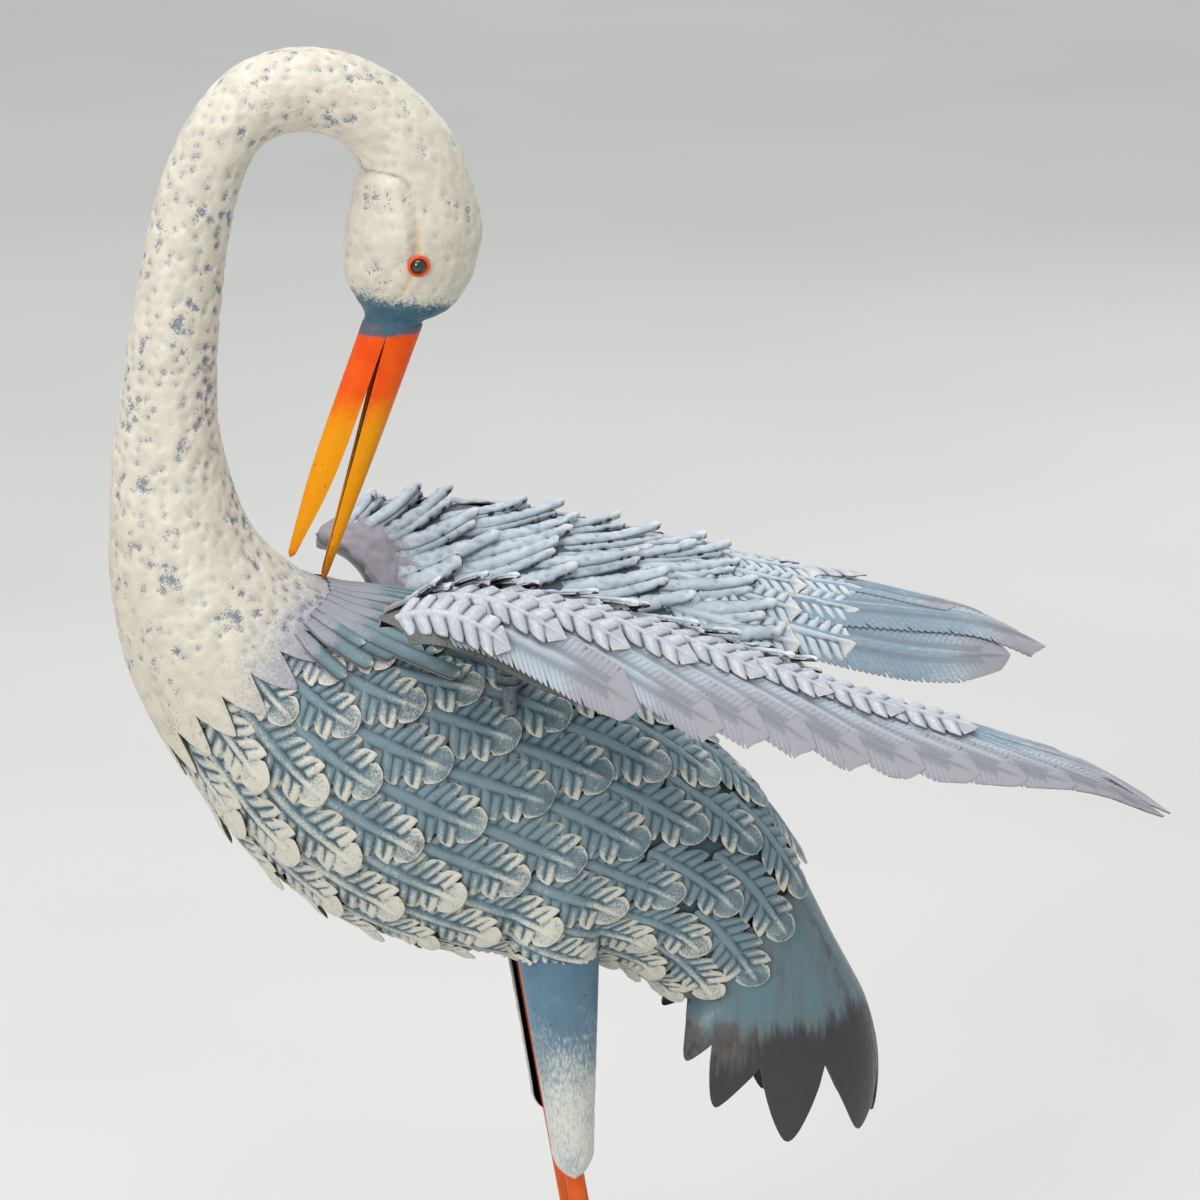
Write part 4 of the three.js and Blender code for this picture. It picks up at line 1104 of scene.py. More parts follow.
@dataclass
class NeckAndBreast:
    """Hammered shell of the breast, neck and head, with the zigzag collar over the body."""

    trunk: Trunk
    teeth: int = 10
    tooth_pitch: float = 18.0
    first_tooth: float = 12.0
    tooth_lean: float = 5.5
    collar_tip: float = 368.0
    belly_rise: float = 8.0
    notch_start: float = 372.0
    notch_climb: float = 0.22
    # Shares of the way up to a tooth's tip and down from it at each column.
    rising: tuple = (0, 0.14, 0.3, 0.48, 0.66, 0.82, 0.93)
    falling: tuple = (0, 0.16, 0.4, 0.72)
    start: float = 409.0
    lift: float = 5.0
    sheet: float = 1.3
    ring_step: float = 1.55
    end: float = 23.0
    past_end: float = 3.0
    crease_path: tuple = ((16.9, 150), (17.03, 129), (17.19, 111), (17.37, 101), (17.58, 96),
                          (18.04, 94), (18.61, 93), (19.12, 91), (19.46, 95), (20.1, 98), (20.5, 102))

    def columns(self) -> Array:
        """Degrees from the belly of one side's columns, and where the collar's edge lies there.

        Returns:
            The degrees and the lengths, as rows of one array.
        """
        columns = []
        start = 0.0
        for tooth in range(self.teeth):
            tip_at = self.first_tooth + tooth * self.tooth_pitch
            end = min(tip_at + self.tooth_lean, 180.0)
            tip = self.collar_tip - self.belly_rise * float(1 - rise(20, 60, tip_at))
            first_notch, last_notch = (self.notch_start + self.notch_climb * at for at in (start, end))
            columns += [(lerp(start, tip_at, f), lerp(first_notch, tip, 1 - (1 - f) ** 1.35))
                        for f in self.rising]
            columns += [(lerp(tip_at, end, f), lerp(tip, last_notch, f ** 1.9)) for f in self.falling]
            start = end
        return np.array(columns).T

    def inside_cheek(self, position: Array, degrees: Array) -> Array:
        """Millimetres inside the cheek's outline, negative outside it.

        Args:
            position: place along the sections of each point.
            degrees: degrees from the belly of each point.

        Returns:
            The distances.
        """
        path = np.array(self.crease_path)
        line = np.interp(position, path[:, 0], path[:, 1])
        beside = np.radians(degrees - line) * 30
        above = (position - 16.95) * 24 + 0.1 * np.clip(120 - degrees, 0, 40)
        blend = 3.0
        return -blend * np.logaddexp(-beside / blend, -above / blend)

    def crease(self, position: Array, degrees: Array) -> Array:
        """How near a point lies to the cheek's crease, 1 on it."""
        return bell(self.inside_cheek(position, degrees) + 1.2, 1.5)

    def relief(self, position: Array, degrees: Array) -> Array:
        """Cheek bulge, its crease and the seam beads, as a lift off the loft.

        Args:
            position: place along the sections of each point.
            degrees: degrees from the belly of each point.

        Returns:
            The lift in millimetres.
        """
        inside = self.inside_cheek(position, degrees)
        fade = rise(16.6, 17.0, position) * (1 - rise(18.2, 19.6, position))
        groove = rise(16.7, 17.0, position) * (1 - 0.65 * rise(18.4, 19.4, position))
        groove = groove * (1 - rise(20.2, 20.8, position))
        cheek = 2.8 * rise(0.0, 5.0, inside) * (1 - 0.5 * rise(6.0, 30.0, inside)) * fade
        arc = np.minimum(np.abs(degrees), np.abs(degrees - 180))
        seam = 0.25 * bell(np.radians(arc) * 28, 1.0) * rise(9.0, 11.0, position)
        return cheek - 1.9 * self.crease(position, degrees) * groove + seam

    def build(self) -> MeshData:
        """Makes the shell: collar, breast, neck and head, closed under the collar.

        Returns:
            The closed shell with its paint maps.
        """
        near, near_edge = self.columns()
        degrees = np.concatenate([near, [180.0], near[:0:-1]])
        top_notch = self.notch_start + self.notch_climb * 180
        edge_line = np.concatenate([near_edge, [top_notch], near_edge[:0:-1]])
        sign = np.concatenate([np.ones(len(near)), [1.0], -np.ones(len(near) - 1)])
        angle = np.pi + sign * np.radians(degrees)
        collar = np.concatenate([[0, 0.012, 0.03], np.linspace(0.07, 0.95, 14)])[:, None]
        along = lerp(edge_line[None, :], self.start, collar)
        collar_lift = self.lift + self.sheet - 0.5 * bell(along - edge_line[None, :], 0.6)
        rows = [self.trunk.body(along, angle[None, :], collar_lift)]
        total = self.trunk.length_at(self.end) + self.past_end
        lengths = np.linspace(self.start, total, int((total - self.start) / self.ring_step))
        per_section = total - self.past_end - self.trunk.length_at(self.end - 1)
        extra = np.clip(lengths - total + self.past_end, 0, None) / per_section
        position = (self.trunk.position_at(lengths) + extra)[:, None] + 0 * angle[None, :]
        spread = degrees[None, :] + 0 * position
        settle_in = -0.5 - 0.2 * rise(10.0, 12.0, position)
        rows.append(self.trunk.point(position, angle[None, :], self.relief(position, spread) + settle_in))
        inner_edge = self.trunk.body(edge_line, angle, self.lift)
        underside = self.trunk.body(self.start - 4, angle, self.lift)
        rings = np.concatenate([underside[None], inner_edge[None], *rows])
        stops = np.concatenate([self.trunk.position_at(along), position])
        lead = np.concatenate([stops[:1], stops[:1], stops])
        turn = np.broadcast_to(degrees, lead.shape)
        edge = np.zeros(lead.shape)
        edge[1:2] = 1.0
        edge[2:2 + len(along)] = 1 - rise(0.2, 1.4, along - edge_line[None, :])
        behind = rise(60, 150, turn)
        wash = 1.3 * rise(19.9, 21.7, lead) - 0.06
        stain = (0.4 + 0.6 * behind) * (1 - rise(6.1, 7.6 + 1.6 * behind, lead)) * rise(30, 90, turn)
        belly = 1 - rise(30, 110, turn)
        region = 0.42 + 0.3 * belly * (1 - rise(9.0, 12.0, lead)) - 0.25 * rise(10.0, 14.0, lead)
        cheek_line = self.crease(lead, turn) * rise(17.3, 18.3, lead) * (1 - rise(20.2, 20.8, lead))
        region = region + 1.2 * cheek_line
        under = np.zeros(lead.shape)
        under[0] = 1.0
        hammer = rise(5.9, 6.8, lead) * (1 - 0.32 * rise(15.5, 17, lead)) * (1 - rise(22.5, 22.9, lead))
        # More dents towards the back of the lower neck; their pit paint darkens that side, partly as
        # painted shade.
        hammer = hammer * (0.92 + 0.3 * rise(90, 160, turn) * (1 - rise(13.0, 15.0, lead)))
        hammer[:2] = 0.0
        maps = {Map.EDGE: edge, Map.WASH: wash, Map.STAIN: stain, Map.REGION: region, Map.UNDER: under,
                Map.HAMMER: np.maximum(hammer, 0.5 * (edge < 0.1) * (under < 0.5) * (lead < 6.8))}
        return MeshData.loft(rings, maps)

    def dress(self, hammer: HammeredRelief) -> None:
        """Makes and registers the piece.

        Args:
            hammer: presses the dents.
        """
        piece = self.build().to_object("neck_shell", CREAM.material())
        hammer.press(piece, cell=7.0, depth=2.5)
        hand_over(piece, "cream_enamel", "neck_and_breast")


@dataclass
class ThighShape:
    """Outline of the thigh shells, which the lowest feathers at the side hang over."""

    # X, Z, half width and depth at the top and near the foot.
    top: tuple = (5.0, 412.0, 29.0, 24.0)
    low: tuple = (16.0, 242.0, 13.0, 13.0)
    end: float = 226.0
    faces: tuple = (70.0, 64.0)
    hem: float = 372.0

    def level(self, z: Array) -> tuple[Array, Array, Array, Array]:
        """Middle in X, half width, depth and outer face at height z.

        Args:
            z: heights.

        Returns:
            The four values at each height.
        """
        f = np.clip((self.top[1] - z) / (self.top[1] - self.low[1]), 0, 1)
        middle, half, depth = (lerp(self.top[k], self.low[k], f) for k in (0, 2, 3))
        return middle, half, depth, lerp(*self.faces, (self.top[1] - z) / (self.top[1] - self.end))

    def outer_face(self, points: Array) -> Array:
        """How far out the thigh's outer face lies at points, zero away from it.

        Args:
            points: points of the feathers.

        Returns:
            Distance of the face from the middle plane.
        """
        middle, half, depth, face = self.level(points[:, 2])
        share = (points[:, 0] - middle) / (half + 1.0)
        reach = face - depth + depth * np.sqrt(np.clip(1 - share ** 2, 0, 1))
        return reach * (np.abs(share) < 1) * (points[:, 2] > self.hem) * rise(456, 428, points[:, 2])


@dataclass
class BodyFeathers:
    """Rows of stamped feathers round the body, and the shell under them."""

    trunk: Trunk
    thigh: ThighShape
    tips: tuple = (10, 52, 89.4, 122.6, 155.8, 189, 222.2, 255.4, 288.6, 321.8, 355)
    around: int = 12
    pitch: float = 33.2
    gap: float = 0.5
    rise_per_row: float = 2.0
    tilt: float = 31.0
    full_girth: float = 44.0
    width_range: tuple = (0.86, 1.06)
    turn_play: float = 1.6
    swing_play: float = 0.05
    tip_play: float = 2.0
    lift_play: tuple = (-0.1, 0.25)
    thigh_gap: float = 0.7
    first_seed: int = 900
    tone_seed: int = 40
    template: FeatherTemplate = FeatherTemplate(
        length=69, half_width=18.5, tip_length=15.5, tip_share=0.62, tip_power=2.3, lobes=4,
        notch=0.42, deep_notch=0.42, deep_every=1, slant=0.42, rib_height=1.5, rib_half=3.6,
        lobe_rib=1.2, ribs_per_lobe=2, rib_span=(0.2, 1.0), valley=0.34, shoulder=0.86,
        lobe_rows=((0.1, 0.8), (0.16, 0.96), (0.26, 1.0), (0.38, 1.0), (0.5, 1.0), (0.62, 0.98),
                   (0.74, 0.95), (0.84, 0.9), (0.9, 0.78)))

    def lean(self, row: int, cosine: Array) -> Array:
        """How far a row's tips sit forward of its middle, by the cosine of their angle.

        Args:
            row: its number from the tail.
            cosine: cosine of each feather's angle from the back.

        Returns:
            Millimetres forward.
        """
        front = len(self.tips) - 1 - row
        to_back = min(-6.0 + 6.0 * front, self.tilt)
        to_belly = min(12.0 * row, self.tilt)
        return np.where(cosine > 0, to_back, to_belly) * cosine

    def place_row(self, row: int, copy: Array, flat: Array) -> tuple[Array, dict[Map, Array]]:
        """Bends one row's flat feathers onto the body.

        Args:
            row: its number from the tail.
            copy: each point's feather.
            flat: each point's place on the flat feather.

        Returns:
            The points on the body and their paint maps.
        """
        chance = np.random.default_rng(self.first_seed + row)
        offset = 0.0 if row % 2 == 0 else 0.5
        centres = (np.arange(self.around) + offset) * 2 * np.pi / self.around
        centres = centres + np.radians(chance.uniform(-self.turn_play, self.turn_play, self.around))
        swing = chance.uniform(-self.swing_play, self.swing_play, self.around)
        tips = self.tips[row] + self.lean(row, np.cos(centres))
        tips = tips + chance.uniform(-self.tip_play, self.tip_play, self.around)
        lifts = chance.uniform(*self.lift_play, self.around)
        across, back, height = flat.T
        along = tips[copy] + back
        spacing = self.trunk.girth(tips + 20, centres) * 2 * np.pi / self.around
        width = np.clip(spacing / self.full_girth, *self.width_range)[copy]
        sideways = across * width + swing[copy] * (back - 30)
        angle = centres[copy] + sideways / self.trunk.girth(along, centres[copy])
        stack = self.gap + self.rise_per_row * (2 - back / self.pitch)
        belly = rise(0.15, -0.75, np.cos(centres))[copy]
        curl = (1.5 + 2.6 * belly) * (1 - rise(0, 20, back)) + lifts[copy]
        points = self.trunk.body(along, angle, stack + curl + height)
        resting = self.trunk.body(along, angle, 1.2)
        over = np.clip(self.thigh.outer_face(resting) + self.thigh_gap - np.abs(resting[:, 1]), 0, None)
        points[:, 1] += np.sign(points[:, 1]) * over
        front = rise(230, 370, along)
        tip_zone = 1 - rise(6, 36, back)
        ends = rise(5, 18, np.abs(across))
        region = 0.5 * tip_zone + 0.42 * belly + 0.16 * front + 0.14 * ends * (0.4 + tip_zone)
        stain = 0.55 * front * rise(-0.3, 0.8, np.cos(centres))[copy] + 0.25 * tip_zone
        return points, {Map.REGION: region - 0.08, Map.STAIN: stain}

    def shell(self) -> MeshData:
        """Closed shell under the feathers, a little below the CAD's.

        Returns:
            The shell.
        """
        along = np.linspace(50, 404, 60)[:, None]
        return MeshData.loft(self.trunk.body(along, full_turn(72)[None, :], -0.4), {})

    def dress(self, rows: TemplateRow) -> None:
        """Makes and registers the shell and every row.

        Args:
            rows: lays the copies of the feather.
        """
        hand_over(self.shell().to_object("under_shell", SHELL.material()), "shell_blue_grey", "body_shell")
        paint = FEATHER.material()
        template = self.template.build("flat_feather")
        for row in range(len(self.tips)):
            number = len(self.tips) - row
            piece, copy, flat = rows.make(f"feather_row_{number}", template, self.around,
                                          self.tone_seed + row, paint)
            points, maps = self.place_row(row, copy, flat)
            for paint_map, values in maps.items():
                write_map(piece.data, paint_map, values)
            bend(piece, points)
            hand_over(piece, "feather_blue_grey", f"body_feathers_{number}")
        drop_template(template)


@dataclass
class Scapulars:
    """Long smooth straps that run back from the collar under the wings."""

    trunk: Trunk
    # Root length, root degrees, tip length, tip degrees, half width, lift.
    straps: tuple = (
        (404, 321, 323, 319, 8.0, 6.4), (402, 302, 349, 299, 4.2, 7.2), (406, 311, 337, 309, 4.8, 7.6),
        (410, 318, 352, 316, 3.6, 8.2), (412, 325, 280, 317, 4.6, 8.4), (412, 331, 300, 324, 4.2, 7.8),
        (414, 338, 268, 329, 4.2, 8.5), (414, 345, 286, 338, 4.2, 7.8), (416, 352, 262, 346, 4.2, 8.4),
        (416, 359, 280, 355, 4.2, 7.9),
    )
    sheet: float = 0.9
    rows: int = 30
    end_rows: int = 8
    columns: int = 13

    def strap(self, root: float, root_at: float, tip: float, tip_at: float, half: float,
              lift: float) -> MeshData:
        """One strap, rounded at its tip and lightly domed.

        Args:
            root: length along the body where it starts.
            root_at: degrees from the back there.
            tip: length along the body where it ends.
            tip_at: degrees from the back there.
            half: half its width.
            lift: how high it lies at its tip.

        Returns:
            The closed strap.
        """
        end = 1 - 0.1 * np.linspace(0.9, 0.0, self.end_rows) ** 1.6
        f = np.concatenate([np.linspace(0, 0.9, self.rows - self.end_rows), end])[:, None]
        share = np.linspace(-1, 1, self.columns)[None, :]
        reach = root - tip
        left = np.clip((1.0 - f) * reach / (half * 0.9), 0, 1)
        width = half * lerp(0.8, 1.0, rise(0, 0.3, f)) * round_end(1 - left, 0.0, 0.02)
        along = lerp(root, tip, f) + 0 * share
        centre = np.radians(lerp(root_at, tip_at, f)) + 0 * share
        angle = centre + share * width / self.trunk.girth(along, centre)
        height = lerp(5.2, lift, rise(0.0, 0.5, f)) + 1.8 * (1 - share ** 2)
        outer = self.trunk.body(along, angle, height + self.sheet)
        inner = self.trunk.body(along, angle, height)
        # Ridge map: lighter along the strap's middle and painted shade along its sides, between
        # neighbouring straps.
        maps = {Map.EDGE: np.maximum(rise(0.82, 1.0, np.abs(share)), rise(0.97, 1.0, f)),
                Map.RIDGE: 0.1 + 0.65 * (1 - share ** 2), Map.REGION: 0.3 * rise(0.6, 1.0, f),
                Map.STAIN: 0.9 - 0.7 * rise(0.1, 0.7, f)}
        return MeshData.sheet(outer, inner, maps)

    def dress(self) -> None:
        """Makes and registers the straps of both sides as one piece."""
        near = [self.strap(*strap) for strap in self.straps]
        far = [strap.mirrored() for strap in near]
        piece = MeshData.together(near + far).to_object("scapular_straps", FEATHER.material())
        hand_over(piece, "feather_blue_grey")


@dataclass
class Beak:
    """Two folded channels that meet along a dark gap."""

    steps: int = 60
    lower_outer: tuple = ((-104.5, 741.2), (-131.6, 665.6), (-147.4, 610.4))
    lower_inner: tuple = ((-89.9, 739.0), (-117.5, 663.0), (-143.8, 609.0))
    upper_outer: tuple = ((-68.6, 739.0), (-94.6, 670.3), (-124.5, 594.6))
    upper_inner: tuple = ((-89.3, 738.8), (-106.0, 676.0), (-128.2, 595.6))
    half_base: tuple = (11.0, 11.5)
    half_tip: float = 2.2
    tucked: float = 0.11
    # Shares of the depth and of the half width round half the outside, and round the hollow.
    profile: tuple = ((0, 1), (0.15, 1.0), (0.35, 0.985), (0.55, 0.93), (0.72, 0.8), (0.85, 0.6),
                      (0.94, 0.33), (0.985, 0.14), (1, 0))
    hollow: tuple = ((0.21, -0.7), (0.3, -0.3), (0.3, 0.3), (0.21, 0.7))
    middle: float = 0.5

    def mandible(self, outer: tuple, inner: tuple, half_base: float) -> MeshData:
        """One folded channel from the head to its tip.

        Args:
            outer: its outer edge line in X and Z, as three points.
            inner: its open side's edge line.
            half_base: half its width at the head.

        Returns:
            The closed channel, its hollow side marked as the underside.
        """
        f = np.linspace(-self.tucked, 1, self.steps)
        out = smooth(np.array(outer, float), 2 * f)
        into = smooth(np.array(inner, float), 2 * f)
        inside_head = rise(-0.07, -0.1, f)
        half = lerp(half_base, self.half_tip, np.clip(f, 0, 1)) * lerp(1.0, 0.8, inside_head)
        tip = round_end(f, 0.965, 0.05)
        outside = [*self.profile, *((x, -y) for x, y in self.profile[-2::-1])]
        section = np.array([*outside, *self.hollow])
        depth = section[None, :, 0] + 0 * f[:, None]
        depth[:, len(outside):] *= (1 - f / 2)[:, None]
        depth = self.middle + (depth - self.middle) * tip[:, None]
        side = section[None, :, 1] * (half * tip)[:, None]
        depth = depth * lerp(1.0, 0.78, inside_head)[:, None]
        flat = into[:, None, :] + (out - into)[:, None, :] * depth[..., None]
        rings = np.stack([flat[..., 0], side, flat[..., 1]], -1)
        z = rings[..., 2]
        maps = {Map.STAIN: rise(728, 672, z), Map.REGION: rise(738, 752, z), Map.RIDGE: 0.5,
                Map.WASH: 0.8 * rise(640, 590, z), Map.UNDER: np.arange(len(section)) >= len(outside)}
        return MeshData.loft(rings, maps)

    def dress(self) -> None:
        """Makes and registers both channels."""
        paint = BEAK_PAINT.material()
        for part, slot, outer, inner, half in (
                ("upper", "beak_orange", self.upper_outer, self.upper_inner, self.half_base[1]),
                ("lower", "beak_gold", self.lower_outer, self.lower_inner, self.half_base[0])):
            piece = self.mandible(outer, inner, half).to_object(f"beak_{part}_channel", paint)
            hand_over(piece, slot, f"beak_{part}")


@dataclass
class Eyes:
    """A black bead in an orange ring on each side of the head."""

    trunk: Trunk
    section: float = 19.15
    degrees: float = 91.5
    bead: float = 4.7
    bead_height: float = 3.9
    ring_middle: float = 5.5
    ring_half: float = 1.05
    ring_rise: float = 1.3
    off: float = 0.3
    segments: int = 40

    def turned(self, profile: Array, side: Side) -> MeshData:
        """Turns a profile of radius and height about the eye's axis.

        Args:
            profile: one radius and height in a row.
            side: the side of the head.

        Returns:
            The turned solid.
        """
        angle = math.radians(self.degrees)
        step = 0.01
        centre = self.trunk.point(self.section, angle, 0.0)
        along = self.trunk.point(self.section + step, angle, 0.0) - centre
        around = self.trunk.point(self.section, angle + step, 0.0) - centre
        normal = np.cross(around, along)
        normal *= np.sign(normal[1]) / np.linalg.norm(normal)
        first = along / np.linalg.norm(along)
        second = np.cross(normal, first)
        turn = full_turn(self.segments)
        wheel = np.cos(turn)[:, None] * first + np.sin(turn)[:, None] * second
        rings = centre + normal * (profile[:, 1, None, None] + self.off) + profile[:, 0, None, None] * wheel
        data = MeshData.loft(rings, {})
        return data if side is Side.RIGHT else data.mirrored()

    def dress(self) -> None:
        """Makes and registers the beads and rings."""
        turn = np.linspace(0, np.pi / 2, 14)
        bead = np.stack([self.bead * np.cos(turn).clip(0.02), self.bead_height * np.sin(turn)], -1)
        bead = np.concatenate([[[self.bead * 0.98, -0.8]], bead])
        turn = np.linspace(0, 2 * np.pi, 20)
        rim = np.stack([self.ring_middle + self.ring_half * np.cos(turn),
                        0.5 + self.ring_rise * np.sin(turn)], -1)
        black, orange = GlossBead().material(), RING_PAINT.material()
        for side in Side:
            for part, profile, paint, slot, node in (("bead", bead, black, "eye_black", "eye"),
                                                     ("rim", rim, orange, "eye_orange", "eye_ring")):
                piece = self.turned(profile, side).to_object(f"eye_{part}_{side.word}", paint)
                hand_over(piece, slot, f"{node}_{side.word}")


@dataclass
class TailFan:
    """Curved tail plate cut into round-ended prongs, blue above and charcoal below."""

    trunk: Trunk
    sheet: float = 1.4
    wrap: float = 150.0
    covered: tuple = (6.0, 3.2)
    root: tuple = (44.0, 0.9)
    middle: tuple = (210.0, 146.0, 85.0, 44.0, 300.0)
    end: tuple = (209.0, 150.0, 82.0, 42.0, 225.0)
    bend_z: float = 314.0
    round_share: float = 0.45
    front_edge: float = 304.0
    # Share round of each prong's start and end, its far notch's height, and its tip.
    prongs: tuple = ((1.0, 0.84, 302, 0.97, 294), (0.84, 0.56, 285, 0.81, 262),
                     (0.56, 0.325, 285, 0.44, 235), (0.325, 0.07, 270, 0.19, 234))
    centre_tip: float = 235.0
    per_prong: int = 16

    def level(self, shape: tuple, around: Array) -> Array:
        """Outline of the fan at one of its two set heights.

        Args:
            shape: its back, wall and front in X, its half width and its height.
            around: share round the fan, from -1 to 1.

        Returns:
            Points on the outline.
        """
        back, wall, front, half, z = shape
        share = np.abs(around)
        side = np.where(around < 0, -1.0, 1.0)
        turn = np.clip(share / self.round_share, 0, 1) * np.pi / 2
        f = np.clip((share - self.round_share) / (1 - self.round_share), 0, None)
        x = np.where(share <= self.round_share, wall + (back - wall) * np.cos(turn), lerp(wall, front, f))
        y = side * half * np.where(share <= self.round_share, np.sin(turn), 1.0)
        return np.stack([x, y, np.full_like(x, z)], -1)

    def top(self, station: tuple, around: Array, depth: float) -> Array:
        """Where the fan passes under the last feathers."""
        return self.trunk.body(station[0], np.radians(around * self.wrap), station[1] - depth)

    def point(self, around: Array, z: Array) -> Array:
        """Points below the feathers, curved in height through three outlines.

        Args:
            around: share round the fan, from -1 to 1.
            z: heights.

        Returns:
            Points on the outer face.
        """
        knots = [self.top(self.covered, around, 0.0), self.level(self.middle, around),
                 self.level(self.end, around)]
        total = 0.0
        for k, knot in enumerate(knots):
            share = 1.0
            for n, other in enumerate(knots):
                if n != k:
                    share = share * (z - other[..., 2]) / (knot[..., 2] - other[..., 2])
            total = total + knot * share[..., None]
        return total

    def inset(self, around: Array, z: Array, depth: Array | float) -> Array:
        """Points a depth inside the fan's outer face.

        Args:
            around: share round the fan, from -1 to 1.
            z: heights.
            depth: millimetres inwards.

        Returns:
            The points.
        """
        step = 1e-3
        down = self.point(around, z + step) - self.point(around, z - step)
        across = self.point(around + step, z) - self.point(around - step, z)
        normal = np.cross(across, down)
        normal /= np.linalg.norm(normal, axis=-1, keepdims=True)
        here = self.point(around, z)
        outward = (here[..., 0] - self.middle[1] + 20) * normal[..., 0] + here[..., 1] * normal[..., 1]
        return here - normal * np.sign(outward)[..., None] * np.asarray(depth)[..., None]

    def free_edge(self) -> Array:
        """Columns of one side: share round at the bend, share and height at the edge, and place
        across the prong.

        Returns:
            The four lists as rows of one array.
        """
        columns = []
        notch = self.front_edge
        for start, stop, far_notch, tip_at, tip_z in self.prongs:
            middle = (start + stop) / 2
            for f in np.linspace(0, 1, self.per_prong, endpoint=False):
                c = 2 * f - 1
                reach = (1 - np.abs(c) ** 1.7) ** 0.8
                lean = (tip_at - middle) * reach
                pinched = c * (start - stop) / 2 * lerp(1.0, 0.8, reach)
                columns.append((lerp(start, stop, f), middle + lean - pinched,
                                lerp(notch if c < 0 else far_notch, tip_z, reach), abs(c)))
            notch = far_notch
        for f in np.linspace(0, 1, 5):
            at = lerp(stop, 0.0, f)
            reach = math.sin(f * math.pi / 2) ** 0.7
            columns.append((at, at, lerp(notch, self.centre_tip, reach), 1 - f))
        return np.array(columns).T

    def build(self) -> MeshData:
        """Makes the fan as one closed plate.

        Returns:
            The closed plate with its paint maps.
        """
        half = self.free_edge()
        other = half[:, -2::-1] * [[-1], [-1], [1], [1]]
        bend_at, edge_at, edge_z, across = np.concatenate([half, other], axis=1)
        f = np.linspace(0, 1, 44)[:, None]
        crown = np.linspace(0, 1, 6)[:, None]
        z = lerp(self.bend_z, edge_z[None, :], f ** 0.9)
        around = lerp(bend_at[None, :], edge_at[None, :], f ** 1.4)
        rib = 0.5 * (1 - across[None, :] ** 2) * rise(0.1, 0.5, f)
        grids = []
        for depth in (0.0, self.sheet):
            hidden = lerp(self.top(self.root, bend_at, depth)[None],
                          self.top(self.covered, bend_at, depth)[None], np.linspace(0, 1, 3)[:, None, None])
            first = self.inset(around[:1], z[:1], np.full(around[:1].shape, depth))
            blend = lerp(hidden[-1:], first, crown[1:-1, :, None])
            grids.append(np.concatenate([hidden, blend, self.inset(around, z, depth + 0.5 - rib)]))
        lead = np.concatenate([np.full((7, len(across)), self.bend_z + 8), z])
        share = np.abs(around[:1])
        border = 322 + 3 * np.sin(around[:1] * 23) + 3 * np.sin(around[:1] * 61 + 1)
        border = (border - 4 * bell(share - 0.7, 0.2) + 5 * (1 - rise(0.1, 0.4, share))
                  + 5 * rise(0.84, 1.0, share))
        wash = 1.28 * rise(-10, 32, border - lead) - 0.18
        dull = 0.7 * rise(-22, 14, border - lead)
        brown = 0.7 * bell(border - lead - 22, 26) * rise(0.35, 0.7, share)
        edge = np.concatenate([np.zeros((7, len(across))), rise(0.95, 1.0, f) + 0 * z])
        maps = {Map.WASH: wash, Map.STAIN: dull, Map.REGION: brown, Map.EDGE: edge}
        return MeshData.sheet(grids[0], grids[1], maps)

    def dress(self) -> None:
        """Makes and registers the fan."""
        hand_over(self.build().to_object("tail_plate", TAIL.material()), "tail_charcoal", "tail_fan")


